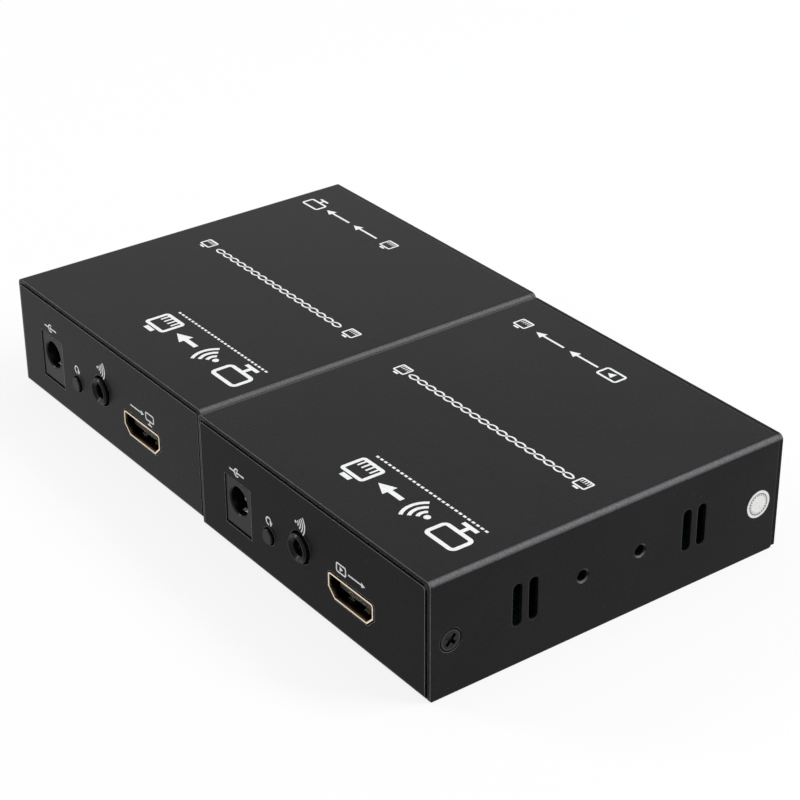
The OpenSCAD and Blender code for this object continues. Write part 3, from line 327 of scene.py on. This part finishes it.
def blackZincScrews(name, node, values):
    material, tree, shader, place = newMaterial(name)
    low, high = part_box(node)
    axes = axesFromMiddle(tree, place, low, high)
    apart = (high.y - low.y) / 2 - values["radius"]
    aside = addNode(tree, "ShaderNodeMath", {0: axes["Y"]}, operation="ABSOLUTE").outputs["Value"]
    across = addNode(tree, "ShaderNodeMath", {0: aside, 1: apart}, operation="SUBTRACT").outputs["Value"]
    inputs = {0: radiusOf(tree, across, axes["Z"]), 1: values["radius"]}
    share = addNode(tree, "ShaderNodeMath", inputs, operation="DIVIDE").outputs["Value"]
    face, paintedHighlight, paintedGapShade = values["face"], values["paintedHighlight"], values["paintedGapShade"]
    rim, edge = values["rim"], values["edge"]
    # painted shade in the outer ring stands for the gap round the head; inside it, a painted highlight on
    # the rim
    stops = [(0.0, face), (rim - values["blend"], face), (rim, paintedHighlight), (edge, paintedGapShade), (1.0, paintedGapShade)]
    base = addNode(tree, "ShaderNodeValToRGB", {"Fac": share}, stops).outputs["Color"]
    tree.links.new(base, shader.inputs["Base Color"])
    inputs = {"Vector": place, "Scale": values["scratchScale"], "Detail": 2.0}
    scratches = addNode(tree, "ShaderNodeTexNoise", inputs).outputs["Fac"]
    inputs = {"Strength": values["bump"], "Distance": values["depth"], "Height": scratches}
    tree.links.new(addNode(tree, "ShaderNodeBump", inputs).outputs["Normal"], shader.inputs["Normal"])
    shader.inputs["Metallic"].default_value = 1.0
    shader.inputs["Roughness"].default_value = values["roughness"]
    return material


# gold flash over a steel shell: pale at the mouth and darker further in, as painted shade in the socket's
# cavity, and a painted glint on the two lower fingers, where plugs also scuff them bright; lengths are in
# metres
shellSet = {
    "rim": "#f2dfc6",
    # the near colour and the one after it are painted shade further into the socket
    "near": "#8c6c45",
    "paintedCavityShade": "#17120d",
    # a painted glint on the finger crests, which plugs also scuff bright
    "polishAndGlint": "#fff0cf",
    "mouth": 0.00035,
    "fade": 0.0014,
    "nearAfter": 0.25,
    "cavityShadeAt": 0.95,
    "streakScale": 2400.0,
    "streak": 0.16,
    "height": 0.00555,
    "apart": 0.0027,
    "fingerHalf": 0.0009,
    "crestUp": 0.00078,
    "crestHalf": 0.00034,
    "rubbedIn": 0.0031,
    "rubbedHalf": 0.0011,
    "roughness": 0.3,
    "bump": 0.15,
    "depth": 0.00001,
}


def goldFlashedShell(name, node, values):
    material, tree, shader, place = newMaterial(name)
    low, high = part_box(node)
    axes = addNode(tree, "ShaderNodeSeparateXYZ", {"Vector": place}).outputs
    # painted shade: the colour darkens from the mouth further in, standing for the shade in the socket
    inputs = {"Value": axes["Y"], "From Min": low.y, "From Max": low.y + values["fade"]}
    shadeInward = addNode(tree, "ShaderNodeMapRange", inputs).outputs["Result"]
    inputs = {"Vector": place, "Scale": values["streakScale"], "Detail": 2.0}
    streaks = addNode(tree, "ShaderNodeTexNoise", inputs).outputs["Fac"]
    inputs = {0: streaks, 1: values["streak"], 2: shadeInward}
    mixed = addNode(tree, "ShaderNodeMath", inputs, operation="MULTIPLY_ADD").outputs["Value"]
    mouth = values["mouth"] / values["fade"]
    pale, brown = (mouth, values["rim"]), (mouth + values["nearAfter"], values["near"])
    stops = [pale, brown, (values["cavityShadeAt"], values["paintedCavityShade"])]
    base = addNode(tree, "ShaderNodeValToRGB", {"Fac": mixed}, stops).outputs["Color"]

    # painted glint on the crests of the two lower fingers, partly real polish from plugs
    inputs = {0: axes["X"], 1: (low.x + high.x) / 2}
    across = addNode(tree, "ShaderNodeMath", inputs, operation="SUBTRACT").outputs["Value"]
    aside = addNode(tree, "ShaderNodeMath", {0: across}, operation="ABSOLUTE").outputs["Value"]
    inputs = {0: aside, 1: values["apart"], 2: values["fingerHalf"]}
    column = addNode(tree, "ShaderNodeMath", inputs, operation="COMPARE").outputs["Value"]
    crestAt = high.z - values["height"] + values["crestUp"]
    inputs = {0: axes["Z"], 1: crestAt, 2: values["crestHalf"]}
    crest = addNode(tree, "ShaderNodeMath", inputs, operation="COMPARE").outputs["Value"]
    inputs = {0: axes["Y"], 1: low.y + values["rubbedIn"], 2: values["rubbedHalf"]}
    reach = addNode(tree, "ShaderNodeMath", inputs, operation="COMPARE").outputs["Value"]
    ridge = addNode(tree, "ShaderNodeMath", {0: column, 1: crest}, operation="MULTIPLY").outputs["Value"]
    spot = addNode(tree, "ShaderNodeMath", {0: ridge, 1: reach}, operation="MULTIPLY").outputs["Value"]
    inputs = {"Factor": spot, "A": base, "B": hexColour(values["polishAndGlint"])}
    tone = addNode(tree, "ShaderNodeMix", inputs, data_type="RGBA").outputs["Result"]
    tree.links.new(tone, shader.inputs["Base Color"])
    inputs = {"Strength": values["bump"], "Distance": values["depth"], "Height": streaks}
    tree.links.new(addNode(tree, "ShaderNodeBump", inputs).outputs["Normal"], shader.inputs["Normal"])
    shader.inputs["Metallic"].default_value = 1.0
    shader.inputs["Roughness"].default_value = values["roughness"]
    return material


# glass-epoxy laminate under green lacquer: tracks show through as slightly lighter lines
boardSet = {
    "lacquer": "#1b5a33",
    "darker": "#184f2e",
    "track": "#2f7d4a",
    "trackLength": 0.0085,
    "trackPitch": 0.0012,
    "trackWidth": 0.00028,
    "roughness": 0.32,
    "bump": 0.4,
    "depth": 0.00003,
}


def lacqueredBoard(name, values):
    material, tree, shader, place = newMaterial(name)
    inputs = {
        "Vector": place,
        "Scale": 1.0,
        "Brick Width": values["trackLength"],
        "Row Height": values["trackPitch"],
        "Mortar Size": values["trackWidth"],
        "Color1": hexColour(values["lacquer"]),
        "Color2": hexColour(values["darker"]),
        "Mortar": hexColour(values["track"]),
    }
    tracks = addNode(tree, "ShaderNodeTexBrick", inputs).outputs
    tree.links.new(tracks["Color"], shader.inputs["Base Color"])
    inputs = {"Strength": values["bump"], "Distance": values["depth"], "Height": tracks["Fac"]}
    tree.links.new(addNode(tree, "ShaderNodeBump", inputs).outputs["Normal"], shader.inputs["Normal"])
    shader.inputs["Roughness"].default_value = values["roughness"]
    return material


# clear epoxy of a lamp, a little milky
lampSet = {
    "stops": [(0.3, "#cfe0d2"), (0.7, "#e2ece2")],
    "hazeScale": 900.0,
    "roughness": 0.18,
    "clear": 0.55,
    "index": 1.5,
}


def lampEpoxy(name, values):
    material, tree, shader, place = newMaterial(name)
    inputs = {"Vector": place, "Scale": values["hazeScale"], "Detail": 1.0}
    haze = addNode(tree, "ShaderNodeTexNoise", inputs).outputs["Fac"]
    base = addNode(tree, "ShaderNodeValToRGB", {"Fac": haze}, values["stops"]).outputs["Color"]
    tree.links.new(base, shader.inputs["Base Color"])
    shader.inputs["Roughness"].default_value = values["roughness"]
    shader.inputs["Transmission Weight"].default_value = values["clear"]
    shader.inputs["IOR"].default_value = values["index"]
    return material


# printed paper: a ring and inside it a circle of ticks round the middle of the disc; lengths are in metres
sealSet = {
    "ring": 0.00245,
    "ringWidth": 0.00024,
    "tickFrom": 0.00196,
    "tickTo": 0.00236,
    "ticks": 22,
    "tickAbove": 0.35,
    "ink": "#7b7c80",
    "paper": [(0.3, "#d9d9d6"), (0.7, "#efefec")],
    "fibreScale": 2600.0,
    "roughness": 0.6,
    "bump": 0.3,
    "depth": 0.00001,
}


def printedPaper(name, node, values):
    material, tree, shader, place = newMaterial(name)
    axes = axesFromMiddle(tree, place, *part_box(node))
    radius = radiusOf(tree, axes["Y"], axes["Z"])
    inputs = {0: axes["Z"], 1: axes["Y"]}
    turn = addNode(tree, "ShaderNodeMath", inputs, operation="ARCTAN2").outputs["Value"]
    inputs = {0: turn, 1: float(values["ticks"])}
    turns = addNode(tree, "ShaderNodeMath", inputs, operation="MULTIPLY").outputs["Value"]
    wave = addNode(tree, "ShaderNodeMath", {0: turns}, operation="SINE").outputs["Value"]
    inputs = {0: wave, 1: values["tickAbove"]}
    tick = addNode(tree, "ShaderNodeMath", inputs, operation="GREATER_THAN").outputs["Value"]
    tickFrom, tickTo = values["tickFrom"], values["tickTo"]
    inputs = {0: radius, 1: (tickFrom + tickTo) / 2, 2: (tickTo - tickFrom) / 2}
    band = addNode(tree, "ShaderNodeMath", inputs, operation="COMPARE").outputs["Value"]
    inputs = {0: radius, 1: values["ring"], 2: values["ringWidth"] / 2}
    ring = addNode(tree, "ShaderNodeMath", inputs, operation="COMPARE").outputs["Value"]
    dashes = addNode(tree, "ShaderNodeMath", {0: tick, 1: band}, operation="MULTIPLY").outputs["Value"]
    ink = addNode(tree, "ShaderNodeMath", {0: dashes, 1: ring}, operation="MAXIMUM").outputs["Value"]
    inputs = {"Vector": place, "Scale": values["fibreScale"], "Detail": 3.0}
    fibre = addNode(tree, "ShaderNodeTexNoise", inputs).outputs["Fac"]
    paper = addNode(tree, "ShaderNodeValToRGB", {"Fac": fibre}, values["paper"]).outputs["Color"]
    inputs = {"Factor": ink, "A": paper, "B": hexColour(values["ink"])}
    tone = addNode(tree, "ShaderNodeMix", inputs, data_type="RGBA").outputs["Result"]
    tree.links.new(tone, shader.inputs["Base Color"])
    inputs = {"Strength": values["bump"], "Distance": values["depth"], "Height": fibre}
    tree.links.new(addNode(tree, "ShaderNodeBump", inputs).outputs["Normal"], shader.inputs["Normal"])
    shader.inputs["Roughness"].default_value = values["roughness"]
    return material


# screen-printed ink: the mesh of the screen leaves it slightly uneven
inkSet = {
    "stops": [(0.3, "#dcdcdc"), (0.7, "#eeeeed")],
    "meshScale": 3200.0,
    "roughness": 0.55,
}


def screenInk(name, values):
    material, tree, shader, place = newMaterial(name)
    inputs = {"Vector": place, "Scale": values["meshScale"], "Detail": 1.0}
    mesh = addNode(tree, "ShaderNodeTexNoise", inputs).outputs["Fac"]
    base = addNode(tree, "ShaderNodeValToRGB", {"Fac": mesh}, values["stops"]).outputs["Color"]
    tree.links.new(base, shader.inputs["Base Color"])
    shader.inputs["Roughness"].default_value = values["roughness"]
    return material


alongY, alongZ = (1.0, 0.06, 1.0), (1.0, 1.0, 0.1)
finishes = {
    "black_enamel": powderCoatedSteel("powder coated steel", powderSet),
    "black_screw": rolledMetal("black zinc plated steel", "#29292b", "#3b3b3d", roughness=0.34),
    "plated_steel": rolledMetal("tin plated steel", "#a9abad", "#c9cbcc", roughness=0.28),
    "green_board": lacqueredBoard("lacquered glass epoxy", boardSet),
    "black_moulding": mouldedPlastic(
        "moulded black polyester", "#09090a", "#101011", roughness=0.3, shine=0.14
    ),
    "spring_bronze": rolledMetal("nickel plated bronze strip", "#c9c0b0", "#e2dccf", roughness=0.3),
    "gold_plating": rolledMetal("gold flashed contact", "#e0bd85", "#f0d8a8", roughness=0.26),
    "lamp_lens": lampEpoxy("lamp epoxy", lampSet),
    "chip_moulding": mouldedPlastic("moulded chip epoxy", "#1a1b1c", "#232425", roughness=0.6),
    "sink_aluminium": rolledMetal("extruded aluminium", "#9a9da0", "#b5b8ba", roughness=0.4, along=alongY),
    "can_aluminium": rolledMetal("drawn aluminium can", "#c6c8ca", "#dcdddf", roughness=0.25, along=alongZ),
    "seal_paper": printedPaper("printed seal paper", "transmitter_seal", sealSet),
    "white_ink": screenInk("white screen ink", inkSet),
}

slotOf = {s["node"]: s["material_slot"] for s in frame["record"]["subparts"]}
for name, node in frame["nodes"].items():
    node.data.materials.clear()
    node.data.materials.append(finishes[slotOf[name]])


# pieces with a finish of their own; the receiver's tray is the glossier one
trayShine = {"transmitter": 0.042, "receiver": 0.08}
pinFinish = rolledMetal("nickel plated pin", "#f1f0ed", "#fbfaf8", roughness=0.26, along=(1.0, 0.1, 1.0))


def dressPiece(name, material):
    frame["nodes"][name].data.materials[0] = material


for box in boxNames:
    coat = dict(powderSet, shine=trayShine[box])
    dressPiece(box + "_bottom_tray", powderCoatedSteel("powder coated steel tray " + box, coat))
    dressPiece(box + "_power_jack_pin", pinFinish)
    screws, shell = box + "_cover_screws", box + "_video_socket_shell"
    dressPiece(screws, blackZincScrews("black zinc screws " + box, screws, screwSet))
    dressPiece(shell, goldFlashedShell("gold flashed shell " + box, shell, shellSet))
print("materials made:", len(finishes))


# white screen-printed marks, plain pictograms; they are drawn flat (right, up) and then laid on a face;
# lengths are in metres
markSet = {
    "thick": 0.00003,
    "sink": 0.00001,
    "line": 0.00056,
    "fine": 0.00042,
    "small": 0.00036,
    "bold": 0.001,
}


def drawBar(drawing, start, end, width):
    start, end = Vector((*start, 0)), Vector((*end, 0))
    along = end - start
    placed = Matrix.Translation((start + end) / 2) @ Matrix.Rotation(math.atan2(along.y, along.x), 4, "Z")
    placed = placed @ Matrix.Diagonal((along.length, width, 1, 1))
    bmesh.ops.create_grid(drawing, x_segments=1, y_segments=1, size=0.5, matrix=placed)


def drawDisc(drawing, centre, radius, segments):
    placed = Matrix.Translation((*centre, 0))
    bmesh.ops.create_circle(drawing, cap_ends=True, segments=segments, radius=radius, matrix=placed)


# an arc takes a step for every 10 degrees, and 4 at least
arcSet = {"degrees": 10, "least": 4}


def drawArc(drawing, centre, radius, width, start, sweep):
    centre = Vector((*centre, 0))
    ray = Vector((math.cos(math.radians(start)), math.sin(math.radians(start)), 0))
    inner = drawing.verts.new(centre + ray * (radius - width / 2))
    outer = drawing.verts.new(centre + ray * (radius + width / 2))
    geom = [inner, outer, drawing.edges.new((inner, outer))]
    steps = max(arcSet["least"], int(sweep / arcSet["degrees"]))
    angle = math.radians(sweep)
    bmesh.ops.spin(drawing, geom=geom, cent=centre, axis=(0, 0, 1), angle=angle, steps=steps)


def drawFrame(drawing, low, high, width, corner):
    x0, y0, x1, y1 = low[0] + width / 2, low[1] + width / 2, high[0] - width / 2, high[1] - width / 2
    for y in (y0, y1):
        drawBar(drawing, (x0 + corner, y), (x1 - corner, y), width)
    for x in (x0, x1):
        drawBar(drawing, (x, y0 + corner), (x, y1 - corner), width)
    left, right, bottom, top = x0 + corner, x1 - corner, y0 + corner, y1 - corner
    for x, y, start in ((right, top, 0), (left, top, 90), (left, bottom, 180), (right, bottom, 270)):
        drawArc(drawing, (x, y), corner, width, start, 90)


# an arrow's head, in shares of its size
headSet = {"length": 1.3, "half": 0.62}


def drawHead(drawing, base, ahead, size):
    base, ahead = Vector(base), Vector(ahead).normalized()
    aside = Vector((-ahead.y, ahead.x)) * size * headSet["half"]
    corners = base + ahead * size * headSet["length"], base + aside, base - aside
    drawing.faces.new([drawing.verts.new((*p, 0)) for p in corners])


def drawArrow(drawing, start, end, width, head):
    start, end = Vector(start), Vector(end)
    ahead = (end - start).normalized()
    base = end - ahead * head * headSet["length"]
    drawBar(drawing, start, base, width)
    drawHead(drawing, base, ahead, head)


# a screen stands on a foot: its drop in line widths, its half width as a share of the screen's width
screenSet = {"drop": 2.2, "half": 0.24}


def drawScreen(drawing, middle, width, height, line):
    x, y = middle
    drawFrame(drawing, (x - width / 2, y - height / 2), (x + width / 2, y + height / 2), line, line)
    foot = y - height / 2 - line * screenSet["drop"]
    half = width * screenSet["half"]
    drawBar(drawing, (x, y - height / 2), (x, foot + line / 2), line)
    drawBar(drawing, (x - half, foot), (x + half, foot), line)


# a player is a frame with a triangle in it: its side as a share of the height, its corners in sides
playerSet = {"side": 0.26, "corners": ((-0.7, -1), (1.1, 0), (-0.7, 1))}


def drawPlayer(drawing, middle, width, height, line):
    x, y = middle
    drawFrame(drawing, (x - width / 2, y - height / 2), (x + width / 2, y + height / 2), line, line)
    side = height * playerSet["side"]
    corners = [drawing.verts.new((x + a * side, y + b * side, 0)) for a, b in playerSet["corners"]]
    drawing.faces.new(corners)


# a network plug seen from its end, with a latch above and four wires; in shares of half its size and of
# its line
plugSet = {
    "top": 0.7,
    "corner": 0.6,
    "latchHalf": 0.4,
    "latchUp": 0.95,
    "latchLine": 1.3,
    "wires": 4,
    "pitch": 0.36,
    "wireTop": 0.2,
    "wireLine": 0.55,
}


def drawPlug(drawing, middle, size, line):
    x, y = middle
    half = size / 2
    latch, up = half * plugSet["latchHalf"], y + half * plugSet["latchUp"]
    top, wireTop = y + half * plugSet["top"], y - half * plugSet["wireTop"]
    drawFrame(drawing, (x - half, y - half), (x + half, top), line, line * plugSet["corner"])
    drawBar(drawing, (x - latch, up), (x + latch, up), line * plugSet["latchLine"])
    for i in range(plugSet["wires"]):
        at = x + (i - (plugSet["wires"] - 1) / 2) * half * plugSet["pitch"]
        drawBar(drawing, (at, y - half + line), (at, wireTop), line * plugSet["wireLine"])


# waves spread from a dot, whose radius is a share of their line
waveSet = {"dot": 0.9, "dotSegments": 20}


def drawWaves(drawing, centre, radii, line, start, sweep):
    drawDisc(drawing, centre, line * waveSet["dot"], waveSet["dotSegments"])
    for radius in radii:
        drawArc(drawing, centre, radius, line, start, sweep)


# a mark is raised to its thickness and sunk a little into the face, so that no two faces lie in one plane
def layMark(drawing, name, origin, right, up, body):
    right, up = Vector(right), Vector(up)
    outward = right.cross(up)
    bmesh.ops.recalc_face_normals(drawing, faces=drawing.faces)
    flipped = [f for f in drawing.faces if f.normal.z < 0]
    if flipped:
        bmesh.ops.reverse_faces(drawing, faces=flipped)
    raised = set(bmesh.ops.extrude_face_region(drawing, geom=drawing.faces[:], use_keep_orig=True)["geom"])
    lower = [f for f in drawing.faces if f not in raised and abs(f.normal.z) > 0.5]
    bmesh.ops.reverse_faces(drawing, faces=lower)
    moved = [v for v in raised if isinstance(v, bmesh.types.BMVert)]
    bmesh.ops.translate(drawing, vec=(0, 0, markSet["thick"]), verts=moved)
    placed = Matrix((right, up, outward)).transposed().to_4x4()
    placed.translation = Vector(origin) - outward * markSet["sink"]
    bmesh.ops.transform(drawing, matrix=placed, verts=drawing.verts)
    mesh = bpy.data.meshes.new(name)
    drawing.to_mesh(mesh)
    drawing.free()
    mark = bpy.data.objects.new(name, mesh)
    mesh.materials.append(finishes["white_ink"])
    bpy.context.scene.collection.objects.link(mark)
    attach(mark, body)


# on the cover's top: what the box does, the network cable between two plugs, and a plain field near the
# front; places in mm from the cover's left front corner, the rest in mm from the middle of the mark
placeSet = {
    "transmitter": {"role": (24.5, 79.8), "field": (54.6, 13.6), "cable": (8.6, 71.8), "cableBack": 45.4},
    "receiver": {"role": (22.8, 79.4), "field": (56.2, 14.6), "cable": (9.4, 72.2), "cableBack": 45.4},
}
roleSet = {
    "player": (-15.0, 6.4, 4.0),
    "leftPlug": -15.4,
    "rightPlug": 15.0,
    "plug": 4.0,
    "screen": (15.0, 0.5, 6.4, 3.6),
    "arrows": ((-10.6, -1.2), (0.8, 10.2)),
    "head": 1.9,
}
cableSet = {"plug": 3.8, "ends": 9.0, "pitch": 3.0, "bulge": 0.72}
fieldSet = {
    "screen": (-14.6, 0.9, 9.4, 6.0),
    "waves": -6.6,
    "wavesFirst": 1.9,
    "wavesStep": 1.7,
    "wavesCount": 3,
    "wavesLine": 0.85,
    "wavesTurn": (-42, 84),
    "arrow": (1.4, 9.4),
    "arrowLine": 1.2,
    "head": 3.0,
    "plug": (15.4, 7.6),
    "plugLine": 0.9,
    "dashes": 27,
    "dashPitch": 1.35,
    "dashHalf": 0.42,
    "dashDown": 5.9,
    "dashWidth": 0.55,
}


def drawRole(sender, values):
    role = bmesh.new()
    line, fine = markSet["line"], markSet["fine"]
    if sender:
        at, width, height = (v * mm for v in values["player"])
        drawPlayer(role, (at, 0), width, height, line)
        drawPlug(role, (values["rightPlug"] * mm, 0), values["plug"] * mm, fine)
    else:
        at, up, width, height = (v * mm for v in values["screen"])
        drawScreen(role, (at, up), width, height, line)
        drawPlug(role, (values["leftPlug"] * mm, 0), values["plug"] * mm, fine)
    for start, end in values["arrows"]:
        drawArrow(role, (start * mm, 0), (end * mm, 0), line, values["head"] * mm)
    return role


def drawCable(length, values):
    cable = bmesh.new()
    fine = markSet["fine"]
    half, plug = length / 2 * mm, values["plug"] * mm
    for side in (-1, 1):
        drawPlug(cable, (side * (half - plug / 2), 0), plug, fine)
    pitch, bulge = values["pitch"] * mm, values["bulge"] * mm
    count = int((2 * half - values["ends"] * mm) / pitch)
    radius = (pitch * pitch / 4 + bulge * bulge) / (2 * bulge)
    spread = math.degrees(math.asin(pitch / 2 / radius))
    for i in range(count):
        x = (i - (count - 1) / 2) * pitch
        drawArc(cable, (x, bulge - radius), radius, fine, 90 - spread, 2 * spread)
        drawArc(cable, (x, radius - bulge), radius, fine, 270 - spread, 2 * spread)
    return cable


def drawField(values):
    field = bmesh.new()
    bold = markSet["bold"]
    at, up, width, height = (v * mm for v in values["screen"])
    drawScreen(field, (at, up), width, height, bold)
    radii = [(values["wavesFirst"] + values["wavesStep"] * i) * mm for i in range(values["wavesCount"])]
    drawWaves(field, (values["waves"] * mm, 0), radii, bold * values["wavesLine"], *values["wavesTurn"])
    start, end = (v * mm for v in values["arrow"])
    drawArrow(field, (start, 0), (end, 0), bold * values["arrowLine"], values["head"] * mm)
    at, size = (v * mm for v in values["plug"])
    drawPlug(field, (at, 0), size, bold * values["plugLine"])
    half, down, width = values["dashHalf"] * mm, -values["dashDown"] * mm, values["dashWidth"] * mm
    for i in range(values["dashes"]):
        x = (i - (values["dashes"] - 1) / 2) * values["dashPitch"] * mm
        drawBar(field, (x - half, down), (x + half, down), width)
    return field


def makeTopMarks(box, values):
    coverLow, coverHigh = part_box(box + "_top_cover")

    def lay(drawing, name, x, y):
        spot = coverLow.x + x * mm, coverLow.y + y * mm, coverHigh.z
        layMark(drawing, box + name, spot, (-1, 0, 0), (0, -1, 0), box)

    low, high = values["cable"]
    lay(drawRole(box == "transmitter", roleSet), "_role_mark", *values["role"])
    lay(drawCable(high - low, cableSet), "_cable_mark", (low + high) / 2, values["cableBack"])
    lay(drawField(fieldSet), "_field_mark", *values["field"])


# above the ports: polarity, a turning arrow, waves, and a player or a screen with an arrow; places in mm
# from the cover's left face and the underside, the rest in mm from the place
powerSet = {
    "at": (14.9, 19.8),
    "ring": 0.85,
    "turn": (50, 260),
    "dot": 0.36,
    "segments": 16,
    "bar": 2.7,
    "gap": 1.03,
}
infraredSet = {
    "at": (38.0, 18.9),
    "shift": -1.6,
    "first": 0.9,
    "step": 0.75,
    "count": 4,
    "turn": (-40, 80),
}
portSet = {
    "front": -0.4,
    "power": powerSet,
    "reset": {"at": (26.4, 13.95), "ring": 0.85, "turn": (0, 275), "head": 0.85, "ahead": (-0.1, -1)},
    "infrared": infraredSet,
    "video": {"at": (55.3, 15.6), "head": 0.95},
}
sendSet = {"player": (-3.4, 3.4, 2.3), "arrow": (-1.0, 4.6)}
showSet = {"screen": (3.4, 0.2, 3.6, 2.1), "arrow": (-4.8, 1.0)}


def makePortMarks(box, values):
    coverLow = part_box(box + "_top_cover")[0]
    fine = markSet["small"]
    ports = bmesh.new()

    power = values["power"]
    x, z = (v * mm for v in power["at"])
    drawArc(ports, (x, z), power["ring"] * mm, fine, *power["turn"])
    drawDisc(ports, (x, z), power["dot"] * mm, power["segments"])
    drawBar(ports, (x + power["dot"] * mm, z), (x + power["bar"] * mm, z), fine)
    drawBar(ports, (x - power["bar"] * mm, z), (x - power["gap"] * mm, z), fine)

    reset = values["reset"]
    x, z = (v * mm for v in reset["at"])
    drawArc(ports, (x, z), reset["ring"] * mm, fine, *reset["turn"])
    drawHead(ports, (x + reset["ring"] * mm, z), reset["ahead"], reset["head"] * mm)

    infrared = values["infrared"]
    x, z = (v * mm for v in infrared["at"])
    radii = [(infrared["first"] + infrared["step"] * i) * mm for i in range(infrared["count"])]
    drawWaves(ports, (x + infrared["shift"] * mm, z), radii, fine, *infrared["turn"])

    x, z = (v * mm for v in values["video"]["at"])
    if box == "transmitter":
        shift, width, height = (v * mm for v in sendSet["player"])
        drawPlayer(ports, (x + shift, z), width, height, fine)
        start, end = (v * mm for v in sendSet["arrow"])
    else:
        shift, up, width, height = (v * mm for v in showSet["screen"])
        drawScreen(ports, (x + shift, z + up), width, height, fine)
        start, end = (v * mm for v in showSet["arrow"])
    drawArrow(ports, (x + start, z), (x + end, z), fine, values["video"]["head"] * mm)

    corner = coverLow.x, coverLow.y + values["front"] * mm, 0
    layMark(ports, box + "_port_marks", corner, (1, 0, 0), (0, 0, 1), box)


for box in boxNames:
    makeTopMarks(box, placeSet[box])
    makePortMarks(box, portSet)
print("printed marks made")


# floor and studio light; a ray shorter than nearDrops times the floor's drop passes through the floor
stageSet = {
    "side": 8.0,
    "drop": 0.0001,
    "nearDrops": 6,
    "floor": "#f0f0f0",
    "white": "#ffffff",
    "glow": 0.84,
    "world": "#e8ebee",
    "worldStrength": 0.42,
}


def whiteWhereSeen(tree, soft, white):
    seen = addNode(tree, "ShaderNodeLightPath").outputs
    rays = {0: seen["Is Glossy Ray"], 1: seen["Is Transmission Ray"]}
    mirrored = addNode(tree, "ShaderNodeMath", rays, operation="MAXIMUM").outputs["Value"]
    rays = {0: seen["Is Camera Ray"], 1: mirrored}
    either = addNode(tree, "ShaderNodeMath", rays, operation="MAXIMUM").outputs["Value"]
    return addNode(tree, "ShaderNodeMixShader", {"Fac": either, 1: soft, 2: white}).outputs[0]


# seen from below the floor lets the camera through, and light reaches the underside through the gap of
# its drop
def makeStage(values):
    grid = bmesh.new()
    placed = Matrix.Translation((0, 0, -values["drop"]))
    bmesh.ops.create_grid(grid, x_segments=1, y_segments=1, size=values["side"] / 2, matrix=placed)
    mesh = bpy.data.meshes.new("floor")
    grid.to_mesh(mesh)
    grid.free()
    floor = bpy.data.objects.new("floor", mesh)
    bpy.context.scene.collection.objects.link(floor)
    material = bpy.data.materials.new("white table")
    material.use_nodes = True
    tree = material.node_tree
    tree.nodes.clear()
    matt = addNode(tree, "ShaderNodeBsdfDiffuse", {"Color": hexColour(values["floor"])}).outputs[0]
    glowInputs = {"Color": hexColour(values["white"]), "Strength": 1.0}
    glow = addNode(tree, "ShaderNodeEmission", glowInputs).outputs[0]
    both = addNode(tree, "ShaderNodeMixShader", {"Fac": values["glow"], 1: matt, 2: glow}).outputs[0]
    top = whiteWhereSeen(tree, matt, both)
    run = addNode(tree, "ShaderNodeLightPath").outputs["Ray Length"]
    limit = {0: run, 1: values["drop"] * values["nearDrops"]}
    near = addNode(tree, "ShaderNodeMath", limit, operation="LESS_THAN").outputs["Value"]
    back = addNode(tree, "ShaderNodeNewGeometry").outputs["Backfacing"]
    below = addNode(tree, "ShaderNodeMath", {0: back, 1: near}, operation="MAXIMUM").outputs["Value"]
    clear = addNode(tree, "ShaderNodeBsdfTransparent").outputs[0]
    surface = addNode(tree, "ShaderNodeMixShader", {"Fac": below, 1: top, 2: clear}).outputs[0]
    addNode(tree, "ShaderNodeOutputMaterial", {"Surface": surface})
    floor.data.materials.append(material)


def makeWorld(values):
    world = bpy.data.worlds.new("studio")
    bpy.context.scene.world = world
    world.use_nodes = True
    tree = world.node_tree
    tree.nodes.clear()
    softInputs = {"Color": hexColour(values["world"]), "Strength": values["worldStrength"]}
    whiteInputs = {"Color": hexColour(values["white"]), "Strength": 1.0}
    soft, white = (addNode(tree, "ShaderNodeBackground", i).outputs[0] for i in (softInputs, whiteInputs))
    addNode(tree, "ShaderNodeOutputWorld", {"Surface": whiteWhereSeen(tree, soft, white)})


# three area lights: the key behind at the right brightens the covers' bends, the rim light in front at the
# left their front edges, and the overhead one fills the tops
lightSet = {
    "key": {"place": (0.588, 0.624, 0.84), "across": (-0.82, 0, 0.573), "size": (0.75, 0.2), "power": 9.5},
    "rim": {"place": (-0.84, -0.59, 0.62), "across": (0, 0.73, 0.68), "size": (0.55, 0.1), "power": 4.5},
    "overhead": {"place": (-0.15, 0.1, 1.1), "across": (1, 0, 0), "size": (0.9, 0.9), "power": 3.0},
}


def makeLight(name, values):
    data = bpy.data.lights.new(name, "AREA")
    data.shape = "RECTANGLE"
    data.size, data.size_y = values["size"]
    data.energy = values["power"]
    place, across = Vector(values["place"]), Vector(values["across"])
    back = place.normalized()
    side = (across - back * back.dot(across)).normalized()
    lamp = bpy.data.objects.new(name, data)
    turn = Matrix((side, back.cross(side), back)).transposed().to_4x4()
    lamp.matrix_world = Matrix.Translation(place) @ turn
    bpy.context.scene.collection.objects.link(lamp)


makeStage(stageSet)
makeWorld(stageSet)
for name, values in lightSet.items():
    makeLight(name, values)
bpy.context.scene.view_settings.view_transform = "Standard"
print("stage and lights made")
